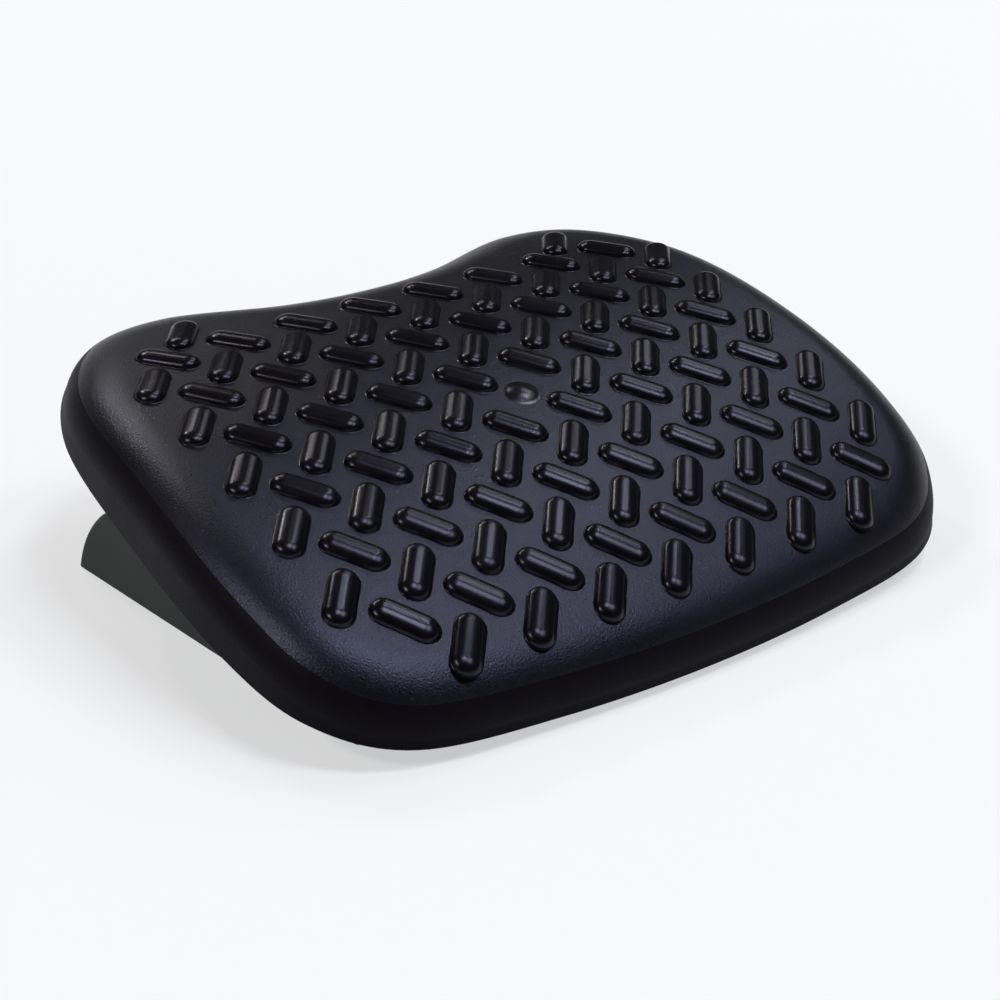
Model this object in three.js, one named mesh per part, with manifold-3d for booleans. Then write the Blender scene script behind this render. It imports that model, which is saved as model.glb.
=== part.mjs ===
// Tilting under desk footrest: a crowned, waisted platform with a herringbone of raised
// tread bars, rocking on two friction hinges above a moulded base.
// Millimetres, +X to the right, +Y to the back (away from the sitter), +Z up.
// The origin is on the floor, under the middle of the whole footrest.
import * as THREE from 'three';
import { ParametricGeometry } from 'three/addons/geometries/ParametricGeometry.js';
import { mergeGeometries, mergeVertices } from 'three/addons/utils/BufferGeometryUtils.js';
import Module from 'manifold-3d';

const wasm = await Module();
wasm.setup();

// General clearances and cutting allowance
const clearance = 0.3;
const overrun = 10;

// Platform, drawn level with its origin on the middle of its top
const platformWidth = 450;
const platformDepth = 363;
const platformWall = 3;
const crownRadius = 574;
const crossCrownRadius = 12700;
const rimRun = 31;
const rimDrop = 25.8;
const skirtDepth = 43.1;
const skirtLip = 4.3;
const skirtDraft = 1.4;
const skirtSagShare = 0.35;
// Right half of the outline from the front middle to the back middle, as shares of the
// outline's width and of the platform's depth
const outlineShares = [
  [0, -0.483], [0.2, -0.472], [0.375, -0.438], [0.462, -0.344], [0.494, -0.197], [0.498, 0.022],
  [0.4745, 0.2975], [0.39, 0.472], [0.269, 0.516], [0.113, 0.4565], [0, 0.441],
];

// Tread: herringbone of rounded bars and one low round boss in the middle
const treadColumnPitch = 21.6;
const treadRowPitch = 46.1;
const treadSideColumns = 8;
// Places of a column's bars, as shares of the row pitch from the middle row
const oddRowShares = [-2.5, -1.5, -0.5, 0.5, 1.5, 2.5];
const evenRowShares = [-3, -2, -1, 0, 1, 2];
const outerRowShares = [-3, -2, -1, 0, 1, 2, 3];
const sideRowShares = [-2, -1, 0, 1, 2];
const treadBarLength = 36;
const treadBarWidth = 15.6;
const treadBarHeight = 4.8;
const treadRoot = 2.2;
const treadMargin = 1;
const treadEdgeRun = 12;
const treadBarAngle = THREE.MathUtils.degToRad(51.4);
const treadShoulderRun = 0.9;
const treadCrestRun = 3.9;
const treadShoulderShare = 0.62;
const bossDiameter = 19;
const bossHeight = 2.4;
const bossShoulderShare = 0.75;

// Ribs under the platform
const ribThickness = 2.5;
const ribDepth = 12;
const ribPitch = 43.2;
const ribPlaceShares = [0.5, 1.5, 2.5, 4.5];
const crossRibOffset = 75;

// Hinge: its axis above the pods' top and below the platform's, and its travel
const pivotRise = 15.2;
const pivotDrop = 31;
const pivotBack = 7;
const restTilt = THREE.MathUtils.degToRad(15.2);
const backTilt = THREE.MathUtils.degToRad(14.8);
const earThickness = 10;
const earRadius = 12;
const earFootHalf = 22;
const lugThickness = 7;
const lugRadius = 11;
const lugReach = 53;

// Hinge hardware
const boltDiameter = 8;
const boltHeadAcross = 13;
const boltHeadHeight = 5.3;
const boltEnd = 2;
const nutHeight = 6.5;
const nutCollarHeight = 1.8;
const nutCollarDiameter = 11.4;
const washerDiameter = 17;
const washerThickness = 1.6;
const frictionWasherDiameter = 21;
const frictionWasherThickness = 1.5;
const bushWall = 2.2;

// Base: two hollow side pods joined by two channel beams
const baseDepth = 252;
const baseLift = 1.5;
const baseWall = 3;
const podHeight = 58.3;
const podArcRadius = 79;
const podInset = 34;
const podWidth = 48;
const podToeIn = THREE.MathUtils.degToRad(4.9);
const podEdge = 3;
const podBack = 3;
const beamWidth = 40;
const beamHeight = 31;
const beamOffset = 80;
const webThickness = 2.5;
const earWebThickness = 4;
const innerWebOffset = 45;
const footInset = 29;
const beamWebSpacing = 70;

// Rubber stop pads on the pods, and rubber feet
const padWidth = 32;
const padLength = 22;
const padOffset = 39;
const padPocket = 1.3;
const padCorner = 4;
const footDiameter = 22;
const footPocket = 2;
const footStemDiameter = 8;
const footStemHeight = 8;
const footBossDiameter = 28;
const footChamfer = 1;

// Facets
const outlineSteps = 80;
const rimSteps = 4;
const innerOutlineSteps = 40;
const innerRimSteps = 3;
const innerCrownSteps = 20;
const barSteps = 10;
const roundSteps = 12;
const arcSteps = 6;
const cornerSteps = 2;
const edgeSteps = 2;
const hexSides = 6;
const swapMargin = 1e-6;

// Sizes that follow
const podOuterHalf = platformWidth / 2 - podInset;
const podMiddle = podOuterHalf - podWidth / 2 / Math.cos(podToeIn);
const pivotHeight = podHeight + pivotRise;
const footOffset = baseDepth / 2 - footInset;
const outlineWidth = platformWidth - 2 * skirtDraft;
const boltRadius = boltDiameter / 2;
const boltBore = boltRadius + clearance;
const bushRadius = boltBore + bushWall;
const lugOffset = earThickness / 2 + frictionWasherThickness + 2 * clearance + lugThickness / 2;
const podArcCentreHeight = podHeight - podArcRadius;
const podArcCentre = baseDepth / 2 - Math.sqrt(podArcRadius ** 2 - podArcCentreHeight ** 2);

// Materials
function finish(color, roughness, metalness) {
  return new THREE.MeshStandardMaterial({ color, roughness, metalness });
}
const platformPlastic = () => finish(0x1c1b20, 0.5, 0);
const basePlastic = () => finish(0x262b2b, 0.55, 0);
const blackRubber = () => finish(0x151515, 0.85, 0);
const fibre = () => finish(0x6b3a2a, 0.8, 0);
const steel = () => finish(0x9a9da1, 0.35, 1);
const bronze = () => finish(0x9a7a45, 0.45, 1);

// A closed geometry as a solid: shared corners are merged and flat triangles dropped
function solidOf(geometry) {
  const bare = geometry.clone();
  bare.deleteAttribute('normal');
  bare.deleteAttribute('uv');
  const merged = mergeVertices(bare);
  const index = merged.index.array;
  const triangles = [];
  for (let i = 0; i < index.length; i += 3) {
    const [a, b, c] = [index[i], index[i + 1], index[i + 2]];
    if (a !== b && b !== c && c !== a) triangles.push(a, b, c);
  }
  return new wasm.Manifold(new wasm.Mesh({
    numProp: 3,
    vertProperties: new Float32Array(merged.attributes.position.array),
    triVerts: new Uint32Array(triangles),
  }));
}

function geometryOf(solid) {
  const mesh = solid.getMesh();
  const geometry = new THREE.BufferGeometry();
  geometry.setAttribute('position', new THREE.BufferAttribute(new Float32Array(mesh.vertProperties), 3));
  geometry.setIndex(new THREE.BufferAttribute(new Uint32Array(mesh.triVerts), 1));
  geometry.computeVertexNormals();
  return geometry;
}

function meshOf(name, solid, material) {
  const mesh = new THREE.Mesh(geometryOf(solid), material);
  mesh.name = name;
  return mesh;
}

const joinAll = (solids) => solids.reduce((whole, solid) => whole.add(solid));
const cutAll = (solid, tools) => tools.reduce((rest, tool) => rest.subtract(tool), solid);

function box(width, depth, height, x, y, z) {
  return solidOf(new THREE.BoxGeometry(width, depth, height).translate(x, y, z));
}

// A shape drawn in Y and Z, extruded along X about x
function extrudeAcross(shape, width, x, options = {}) {
  const bevel = options.bevel ?? 0;
  const geometry = new THREE.ExtrudeGeometry(shape, {
    depth: width - 2 * bevel,
    curveSegments: arcSteps,
    bevelEnabled: bevel > 0,
    bevelThickness: bevel,
    bevelSize: bevel,
    bevelOffset: -bevel,
    bevelSegments: edgeSteps,
  });
  geometry.translate(0, 0, bevel - width / 2);
  const along = new THREE.Matrix4().makeBasis(
    new THREE.Vector3(0, 1, 0),
    new THREE.Vector3(0, 0, 1),
    new THREE.Vector3(1, 0, 0),
  );
  return solidOf(geometry.applyMatrix4(along).translate(x, 0, 0));
}

// A round bar along X, from one x to another
function barAcross(radius, from, to, y, z, steps = roundSteps) {
  const geometry = new THREE.CylinderGeometry(radius, radius, to - from, steps);
  return solidOf(geometry.rotateZ(Math.PI / 2).translate((from + to) / 2, y, z));
}

function post(radius, from, to, x, y) {
  const geometry = new THREE.CylinderGeometry(radius, radius, to - from, roundSteps);
  return solidOf(geometry.rotateX(Math.PI / 2).translate(x, y, (from + to) / 2));
}

// Platform form

// Height of the crowned top: a flat parabola front to back and a flatter one across. Places
// are rounded to the 32 bits that a geometry keeps, so that faces made apart meet exactly
function crown(x, y) {
  return -(Math.fround(y) ** 2) / (2 * crownRadius) - Math.fround(x) ** 2 / (2 * crossCrownRadius);
}

const skirtEdge = (y) => -skirtDepth - (skirtSagShare * y ** 2) / (2 * crownRadius);

function outlineCurve() {
  const half = outlineShares.map(([x, y]) => new THREE.Vector3(x * outlineWidth, y * platformDepth, 0));
  const mirrored = half.slice(1, -1).reverse().map((point) => new THREE.Vector3(-point.x, point.y, 0));
  return new THREE.CatmullRomCurve3([...half, ...mirrored], true, 'catmullrom');
}
const outline = outlineCurve();

// A point of the outline, moved inwards square to it
function outlinePoint(u, inset) {
  const turn = THREE.MathUtils.euclideanModulo(u, 1);
  const point = outline.getPoint(turn);
  const tangent = outline.getTangent(turn);
  return [point.x - tangent.y * inset, point.y + tangent.x * inset];
}

// The rim rounds over as a quarter ellipse and meets the skirt above its lower edge
function rimPoint(u, angle, wall) {
  const run = rimRun - wall;
  const [x, y] = outlinePoint(u, wall + run * (1 - Math.sin(angle)));
  const [edgeX, edgeY] = outlinePoint(u, 0);
  const room = crown(edgeX, edgeY) - skirtEdge(edgeY) - skirtLip;
  const drop = Math.min(rimDrop, room) - wall;
  return [x, y, crown(x, y) - wall - drop * (1 - Math.cos(angle))];
}

// A ring with fewer points than the loft that holds it: neighbours share a point
const snap = (u, steps) => Math.round(u * steps) / steps;

function skirtPoint(u, inset) {
  const [x, y] = outlinePoint(u, inset);
  return [x, y, skirtEdge(outlinePoint(u, 0)[1])];
}

// The section over the rim and down to the skirt's lower edge
function rimStations(wall, steps, arcs) {
  const stations = [];
  for (let i = 0; i <= arcs; i += 1) {
    stations.push((u) => rimPoint(snap(u, steps), ((i / arcs) * Math.PI) / 2, wall));
  }
  stations.push((u) => skirtPoint(snap(u, steps), wall - skirtDraft));
  return stations;
}

// The ceiling under the crown, from its middle outwards, then the rim's and skirt's inner faces
function innerStations(wall) {
  const halfway = (u) => {
    const [x, y] = outlinePoint(snap(u, innerCrownSteps), rimRun);
    return [x / 2, y / 2, crown(x / 2, y / 2) - wall];
  };
  return [() => [0, 0, -wall], halfway, ...rimStations(wall, innerOutlineSteps, innerRimSteps)];
}

// A skin through rings of points; an end ring that is one point closes it
function loft(stations, steps) {
  const last = stations.length - 1;
  const surface = (u, v, target) => target.set(...stations[Math.round(v * last)](u));
  return new ParametricGeometry(surface, steps, last);
}

// The space inside the skirt up to the middle of the wall, where ribs and lugs may reach
function ribRoom() {
  const middle = () => [0, 0, -skirtDepth];
  return solidOf(loft([...innerStations(platformWall / 2), middle].reverse(), innerOutlineSteps));
}

// Tread

// A point on a bar's rounded outline, drawn in by inset
function barOutline(u, inset) {
  const radius = treadBarWidth / 2 - inset;
  const reach = (treadBarLength - treadBarWidth) / 2;
  const half = barSteps / 2;
  const step = Math.round(THREE.MathUtils.euclideanModulo(u, 1) * barSteps) % barSteps;
  const end = step < half ? 1 : -1;
  const angle = ((step % half) / (half - 1) - 0.5) * Math.PI;
  return [end * (reach + radius * Math.cos(angle)), end * radius * Math.sin(angle)];
}

function bossOutline(u, inset) {
  const radius = bossDiameter / 2 - inset;
  return [radius * Math.cos(2 * Math.PI * u), radius * Math.sin(2 * Math.PI * u)];
}

// A raised form of the tread follows the crown. It is round about its core, which reaches
// both ways from its middle. Its profile lists how far each ring is drawn in and how high it
// stands, and it closes over the last ring, the crest
function raisedForm({ outlineOf, steps, profile, radius, reach }, x, y, angle) {
  const point = (u, inset, height) => {
    const [along, side] = outlineOf(u, inset);
    const px = x + along * Math.cos(angle) - side * Math.sin(angle);
    const py = y + along * Math.sin(angle) + side * Math.cos(angle);
    return [px, py, crown(px, py) + height];
  };
  const rings = profile.map(([inset, height]) => (u) => point(u, inset, height));
  const closed = [...rings, () => rings[rings.length - 1](0)];
  const root = (u) => point(u, 0, -treadRoot);
  const coreEnd = (side) => (
    new THREE.Vector3(x + side * reach * Math.cos(angle), y + side * reach * Math.sin(angle), 0)
  );
  return {
    radius,
    core: new THREE.Line3(coreEnd(-1), coreEnd(1)),
    footprint: Array.from({ length: steps }, (_, i) => new THREE.Vector2(...point(i / steps, 0, 0))),
    skin: () => loft(closed, steps),
    rooted: () => solidOf(loft([() => root(0), root, ...closed.slice(1)], steps)),
  };
}

function treadBar(x, y, angle) {
  const shoulder = [treadShoulderRun, treadBarHeight * treadShoulderShare];
  return raisedForm({
    outlineOf: barOutline,
    steps: barSteps,
    profile: [[0, 0], shoulder, [treadCrestRun, treadBarHeight]],
    radius: treadBarWidth / 2,
    reach: (treadBarLength - treadBarWidth) / 2,
  }, x, y, angle);
}

// The low round boss in the middle of the tread
function middleBoss() {
  const radius = bossDiameter / 2;
  const shoulder = [radius * (1 - bossShoulderShare), bossHeight * bossShoulderShare];
  const crest = [radius * bossShoulderShare, bossHeight];
  const profile = [[0, 0], shoulder, crest];
  return raisedForm({ outlineOf: bossOutline, steps: roundSteps, profile, radius, reach: 0 }, 0, 0, 0);
}

// Even columns' bars lean right and odd ones' left. The boss has the middle bar's place
function treadRowShares(column) {
  if (column % 2 !== 0) return oddRowShares;
  if (Math.abs(column) === treadSideColumns) return sideRowShares;
  if (Math.abs(column) === treadSideColumns - 2) return outerRowShares;
  return evenRowShares;
}

function treadForms() {
  const forms = [middleBoss()];
  for (let column = -treadSideColumns; column <= treadSideColumns; column += 1) {
    const angle = column % 2 === 0 ? treadBarAngle : -treadBarAngle;
    for (const row of treadRowShares(column)) {
      if (column === 0 && row === 0) continue;
      forms.push(treadBar(column * treadColumnPitch, row * treadRowPitch, angle));
    }
  }
  return forms.filter((form) => liesInside(form, treadEdgeRun));
}

const outlineEdge = Array.from({ length: outlineSteps * rimSteps }, (_, i) => {
  const u = i / (outlineSteps * rimSteps);
  return { point: outline.getPoint(u), tangent: outline.getTangent(u) };
});

// How far a place lies inside the outline
function runInside(x, y) {
  let nearest = Infinity;
  let run = 0;
  for (const { point, tangent } of outlineEdge) {
    const distance = Math.hypot(x - point.x, y - point.y);
    if (distance < nearest) {
      nearest = distance;
      run = (y - point.y) * tangent.x - (x - point.x) * tangent.y;
    }
  }
  return run;
}

const liesInside = (form, run) => form.footprint.every(({ x, y }) => runInside(x, y) > run);

// Whether a form stands clear of the rim's rounding and of the other forms
function standsFree(form, forms) {
  const clear = (other) => other === form || gapBetween(form, other) > treadMargin;
  return liesInside(form, rimRun + treadMargin) && forms.every(clear);
}

// The gap between two round-ended forms
function gapBetween(one, other) {
  return Math.sqrt(one.core.distanceSqToLine3(other.core)) - one.radius - other.radius;
}

// Gives each pair of triangles that shares an edge the diagonal that keeps them round, so that
// no long, thin facet sags below the crown. The shape stays as it is
function swapDiagonals(corners, index) {
  const angleAt = (c, a, b) => (
    corners[a].clone().sub(corners[c]).angleTo(corners[b].clone().sub(corners[c]))
  );
  let swaps = 0;
  do {
    swaps = 0;
    const edges = new Map();
    for (let i = 0; i < index.length; i += 3) {
      for (let k = 0; k < 3; k += 1) {
        const [a, b, c] = [0, 1, 2].map((n) => index[i + ((k + n) % 3)]);
        edges.set(`${a} ${b}`, { a, b, c, i });
      }
    }
    const changed = new Set();
    for (const { a, b, c, i } of edges.values()) {
      const twin = edges.get(`${b} ${a}`);
      if (!twin || changed.has(i) || changed.has(twin.i)) continue;
      if (angleAt(c, a, b) + angleAt(twin.c, a, b) <= Math.PI + swapMargin) continue;
      index.set([c, a, twin.c], i);
      index.set([twin.c, b, c], twin.i);
      changed.add(i).add(twin.i);
      swaps += 1;
    }
  } while (swaps > 0);
}

// The crowned face, with each form's footprint as a hole
function crownFace(forms) {
  const edge = [];
  for (let i = 0; i < outlineSteps; i += 1) {
    edge.push(new THREE.Vector2(...outlinePoint(i / outlineSteps, rimRun)));
  }
  const shape = new THREE.Shape(edge);
  shape.holes = forms.map((form) => new THREE.Path(form.footprint));
  const face = new THREE.ShapeGeometry(shape);
  const { position } = face.attributes;
  const corners = Array.from({ length: position.count }, (_, i) => (
    new THREE.Vector2(position.getX(i), position.getY(i))
  ));
  swapDiagonals(corners, face.index.array);
  for (let i = 0; i < position.count; i += 1) {
    position.setZ(i, crown(position.getX(i), position.getY(i)));
  }
  return face;
}

// The moulded shell: the face and the forms on it, the rim and skirt, and the inner side. The
// outermost bars reach onto the rim's rounding and are joined to it
function platformShell() {
  const forms = treadForms();
  const inner = forms.filter((form) => standsFree(form, forms));
  const outer = forms.filter((form) => !inner.includes(form));
  const outside = rimStations(0, outlineSteps, rimSteps).reverse();
  const rimAndInside = loft([...innerStations(platformWall), ...outside], outlineSteps);
  const skins = [crownFace(inner), rimAndInside, ...inner.map((form) => form.skin())];
  return joinAll([solidOf(mergeGeometries(skins)), ...outer.map((form) => form.rooted())]);
}

// Ribs and hinge lugs under the platform

// A rib along Y whose lower edge runs beside the crown
function lengthRib(x) {
  const end = platformDepth / 2 + overrun;
  const sag = end ** 2 / (2 * crownRadius);
  const lower = -platformWall - ribDepth;
  const shape = new THREE.Shape();
  shape.moveTo(-end, lower - sag);
  shape.quadraticCurveTo(0, lower + sag, end, lower - sag);
  shape.lineTo(end, overrun);
  shape.lineTo(-end, overrun);
  shape.closePath();
  return extrudeAcross(shape, ribThickness, x);
}

function crossRib(y) {
  const lower = crown(0, y) - platformWall - ribDepth;
  return box(platformWidth, ribThickness, overrun - lower, 0, y, (overrun + lower) / 2);
}

// A lug's lower edge is a shallow V: each flank lies level on a stop pad at one end of the travel
function hingeLug(x) {
  const shape = new THREE.Shape();
  const flank = (side, tilt, along) => [
    pivotBack + side * (lugRadius * Math.sin(tilt) + along * Math.cos(tilt)),
    -pivotDrop - lugRadius * Math.cos(tilt) + along * Math.sin(tilt),
  ];
  const frontEnd = flank(-1, restTilt, lugReach);
  const backEnd = flank(1, backTilt, lugReach);
  shape.moveTo(frontEnd[0], 0);
  shape.lineTo(...frontEnd);
  shape.lineTo(...flank(-1, restTilt, 0));
  const down = 1.5 * Math.PI;
  shape.absarc(pivotBack, -pivotDrop, lugRadius, down - restTilt, down + backTilt, false);
  shape.lineTo(...backEnd);
  shape.lineTo(backEnd[0], 0);
  shape.closePath();
  return extrudeAcross(shape, lugThickness, x);
}

const sides = [['left', -1], ['right', 1]];
const ends = [['front', -1], ['back', 1]];

function platformSolid() {
  const ribs = [];
  const lugs = [];
  const bores = [];
  for (const [, side] of sides) {
    const ear = side * podMiddle;
    for (const place of ribPlaceShares) ribs.push(lengthRib(side * place * ribPitch));
    for (const hand of [-1, 1]) lugs.push(hingeLug(ear + hand * lugOffset));
    const reach = lugOffset + lugThickness;
    bores.push(barAcross(boltBore, ear - reach, ear + reach, pivotBack, -pivotDrop));
  }
  for (const [, end] of ends) ribs.push(crossRib(pivotBack + end * crossRibOffset));
  const carried = cutAll(joinAll([...ribs, ...lugs]).intersect(ribRoom()), bores);
  return platformShell().add(carried);
}

// Base

// A pod's side view: flat below, with a large arc at each end
function podShape(inset, bottom) {
  const radius = podArcRadius - inset;
  const low = Math.asin((bottom - podArcCentreHeight) / radius);
  const shape = new THREE.Shape();
  shape.absarc(podBack + podArcCentre, podArcCentreHeight, radius, low, Math.PI / 2, false);
  shape.absarc(podBack - podArcCentre, podArcCentreHeight, radius, Math.PI / 2, Math.PI - low, false);
  shape.closePath();
  return shape;
}

// Turns a solid of the right pod, drawn square, to its place: the pod toes in towards the front
function atPod(side, solid) {
  const degrees = THREE.MathUtils.radToDeg(side * podToeIn);
  return solid.rotate([0, 0, -degrees]).translate([side * podMiddle, 0, 0]);
}

function podBody(side) {
  const block = extrudeAcross(podShape(0, -podEdge), podWidth, 0, { bevel: podEdge });
  const floorCut = box(podWidth + overrun, baseDepth + overrun, overrun, 0, podBack, baseLift - overrun / 2);
  return atPod(side, block.subtract(floorCut));
}

function podCavity(side) {
  const shape = podShape(baseWall, -baseLift);
  return atPod(side, extrudeAcross(shape, podWidth - 2 * baseWall, 0));
}

// Webs and foot bosses that stand inside a pod
function podInside(side) {
  const span = podWidth - baseWall;
  const tall = podHeight - baseLift - baseWall / 2;
  const middle = baseLift + tall / 2;
  const pieces = [box(earWebThickness, 2 * innerWebOffset, tall, 0, 0, middle)];
  for (const [, end] of ends) {
    pieces.push(box(span, webThickness, tall, 0, end * innerWebOffset, middle));
    pieces.push(box(span, webThickness, tall, 0, end * footOffset, middle));
    pieces.push(post(footBossDiameter / 2, baseLift, baseLift + tall, 0, end * footOffset));
  }
  const within = extrudeAcross(podShape(baseWall / 2, 0), span, 0);
  return atPod(side, joinAll(pieces).intersect(within));
}

function hingeEar(side) {
  const foot = podHeight - baseWall / 2;
  const shape = new THREE.Shape();
  shape.moveTo(-earFootHalf, foot);
  shape.lineTo(earFootHalf, foot);
  shape.lineTo(earRadius, pivotHeight);
  shape.absarc(0, pivotHeight, earRadius, 0, Math.PI, false);
  shape.closePath();
  return extrudeAcross(shape, earThickness, side * podMiddle);
}

// A beam is a channel open below, with webs across it
function beam(end) {
  const length = 2 * podOuterHalf - podWidth;
  const y = end * beamOffset;
  const tall = beamHeight - baseLift;
  const outer = box(length, beamWidth, tall, 0, y, baseLift + tall / 2);
  const inner = box(
    length + overrun, beamWidth - 2 * baseWall, beamHeight - baseWall, 0, y, (beamHeight - baseWall) / 2,
  );
  const webs = [-1, 0, 1].map((place) => (
    box(webThickness, beamWidth - baseWall, tall - baseWall / 2, place * beamWebSpacing, y,
      baseLift + (tall - baseWall / 2) / 2)
  ));
  return joinAll([outer.subtract(inner), ...webs]);
}

const footPlace = (side, end) => {
  const place = new THREE.Vector3(0, end * footOffset, 0);
  place.applyAxisAngle(new THREE.Vector3(0, 0, 1), -side * podToeIn);
  return place.add(new THREE.Vector3(side * podMiddle, 0, 0));
};

function footSocket(side, end) {
  const { x, y } = footPlace(side, end);
  const pocket = post(footDiameter / 2 + clearance, 0, baseLift + footPocket, x, y);
  const stemTop = baseLift + footPocket + footStemHeight + clearance;
  return pocket.add(post(footStemDiameter / 2 + clearance, 0, stemTop, x, y));
}

function padOutline(grow) {
  const x = padWidth / 2 + grow;
  const y = padLength / 2 + grow;
  const corner = padCorner + grow;
  const shape = new THREE.Shape();
  shape.moveTo(-x + corner, -y);
  shape.lineTo(x - corner, -y);
  shape.absarc(x - corner, -y + corner, corner, -Math.PI / 2, 0, false);
  shape.absarc(x - corner, y - corner, corner, 0, Math.PI / 2, false);
  shape.absarc(-x + corner, y - corner, corner, Math.PI / 2, Math.PI, false);
  shape.absarc(-x + corner, -y + corner, corner, Math.PI, 1.5 * Math.PI, false);
  return shape;
}

function padSolid(grow, from, to) {
  const options = { depth: to - from, bevelEnabled: false, curveSegments: cornerSteps };
  return solidOf(new THREE.ExtrudeGeometry(padOutline(grow), options).translate(0, 0, from));
}

const padPlace = (side, end) => [side * podMiddle, end * padOffset, 0];

function baseSolid() {
  const bodies = [beam(-1), beam(1)];
  const cuts = [];
  const additions = [];
  for (const [, side] of sides) {
    bodies.push(podBody(side));
    cuts.push(podCavity(side));
    additions.push(podInside(side), hingeEar(side));
  }
  const shell = joinAll([cutAll(joinAll(bodies), cuts), ...additions]);
  const tools = [];
  for (const [, side] of sides) {
    const ear = side * podMiddle;
    tools.push(barAcross(bushRadius + clearance, ear - earThickness, ear + earThickness, 0, pivotHeight));
    for (const [, end] of ends) {
      tools.push(footSocket(side, end));
      const pocket = padSolid(clearance, podHeight - padPocket, podHeight + overrun);
      tools.push(pocket.translate(padPlace(side, end)));
    }
  }
  return cutAll(shell, tools);
}

// Rubber pieces

function stopPad(name, side, end) {
  const top = pivotHeight - lugRadius - clearance;
  const mesh = meshOf(name, padSolid(0, podHeight - padPocket + clearance, top), blackRubber());
  mesh.position.set(...padPlace(side, end));
  return mesh;
}

function foot(name, side, end) {
  const radius = footDiameter / 2;
  const stem = footStemDiameter / 2;
  const shoulder = baseLift + footPocket - clearance;
  const top = baseLift + footPocket + footStemHeight;
  const profile = [
    [0, 0], [radius - footChamfer, 0], [radius, footChamfer], [radius, shoulder],
    [stem, shoulder], [stem, top], [0, top],
  ];
  const points = profile.map(([r, z]) => new THREE.Vector2(r, z));
  const turned = new THREE.LatheGeometry(points, roundSteps).rotateX(Math.PI / 2);
  const mesh = meshOf(name, solidOf(turned), blackRubber());
  mesh.position.copy(footPlace(side, end));
  return mesh;
}

// Hinge hardware, drawn along X with outward towards the footrest's side

function ring(outer, bore, from, to) {
  const longer = barAcross(bore, from - overrun, to + overrun, 0, 0);
  return barAcross(outer, from, to, 0, 0).subtract(longer);
}

function hexagon(across, from, to) {
  return barAcross(across / Math.sqrt(3), from, to, 0, 0, hexSides);
}

// Distances from the ear's middle, outwards or inwards alike
const lugOutside = lugOffset + lugThickness / 2;
const washerFrom = lugOutside + clearance;
const washerTo = washerFrom + washerThickness;
const seatFrom = washerTo + clearance;

function boltSolid() {
  const length = seatFrom + nutHeight + nutCollarHeight + boltEnd;
  const shank = barAcross(boltRadius, -length, seatFrom + boltHeadHeight / 2, 0, 0);
  return shank.add(hexagon(boltHeadAcross, seatFrom, seatFrom + boltHeadHeight));
}

function nutSolid() {
  const body = hexagon(boltHeadAcross, -seatFrom - nutHeight, -seatFrom);
  const collarEnd = -seatFrom - nutHeight - nutCollarHeight;
  const collar = barAcross(nutCollarDiameter / 2, collarEnd, -seatFrom, 0, 0);
  const bore = barAcross(boltBore, -seatFrom - nutHeight - overrun, overrun, 0, 0);
  return body.add(collar).subtract(bore);
}

function hingeHardware(name, side) {
  const washer = (from) => ring(washerDiameter / 2, boltBore, from, from + washerThickness);
  const friction = (from) => (
    ring(frictionWasherDiameter / 2, boltBore, from, from + frictionWasherThickness)
  );
  const frictionFrom = earThickness / 2 + clearance;
  const bush = ring(bushRadius, boltBore, -earThickness / 2, earThickness / 2);
  const turning = [
    meshOf(`${name}_pivot_bolt`, boltSolid(), steel()),
    meshOf(`${name}_lock_nut`, nutSolid(), steel()),
    meshOf(`${name}_head_washer`, washer(washerFrom), steel()),
    meshOf(`${name}_nut_washer`, washer(-washerTo), steel()),
  ];
  const fixed = [
    meshOf(`${name}_pivot_bush`, bush, bronze()),
    meshOf(`${name}_outer_friction_washer`, friction(frictionFrom), fibre()),
    meshOf(`${name}_inner_friction_washer`, friction(-frictionFrom - frictionWasherThickness), fibre()),
  ];
  for (const mesh of [...turning, ...fixed]) {
    mesh.position.x = side * podMiddle;
    if (side < 0) mesh.rotation.z = Math.PI;
  }
  return { turning, fixed };
}

// Assembly: the base stands on the floor below the hinge, and the platform tilts about the hinge

function assemble() {
  const footrest = new THREE.Group();
  const onHinge = new THREE.Group();
  onHinge.position.z = pivotHeight;
  const tilted = new THREE.Group();
  tilted.rotation.x = restTilt;
  onHinge.add(tilted);

  const platform = meshOf('platform', platformSolid(), platformPlastic());
  platform.position.set(0, -pivotBack, pivotDrop);
  tilted.add(platform);
  footrest.add(meshOf('base', baseSolid(), basePlastic()));

  for (const [sideName, side] of sides) {
    const { turning, fixed } = hingeHardware(sideName, side);
    tilted.add(...turning);
    onHinge.add(...fixed);
    for (const [endName, end] of ends) {
      footrest.add(stopPad(`${endName}_${sideName}_stop_pad`, side, end));
      footrest.add(foot(`${endName}_${sideName}_foot`, side, end));
    }
  }
  footrest.add(onHinge);
  return footrest;
}

// The origin goes under the middle of the whole footrest
const footrest = assemble();
const extent = new THREE.Box3().setFromObject(footrest, true);
footrest.position.y = -(extent.min.y + extent.max.y) / 2;
const group = new THREE.Group();
group.add(footrest);

export default group;
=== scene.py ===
"""Tilting under desk footrest: a crowned, waisted platform with a herringbone of raised
bars, rocking on two friction hinges above a moulded base.

The shapes are modelled in millimetres, each sub-assembly in its own level frame, and are
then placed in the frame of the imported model, in metres.
"""
import sys
import logging
import math
from collections.abc import Callable, Sequence
from dataclasses import dataclass, field
from enum import Enum
from functools import cache

import bmesh
import bpy
from mathutils import Matrix, Quaternion, Vector
from mathutils.kdtree import KDTree


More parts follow.
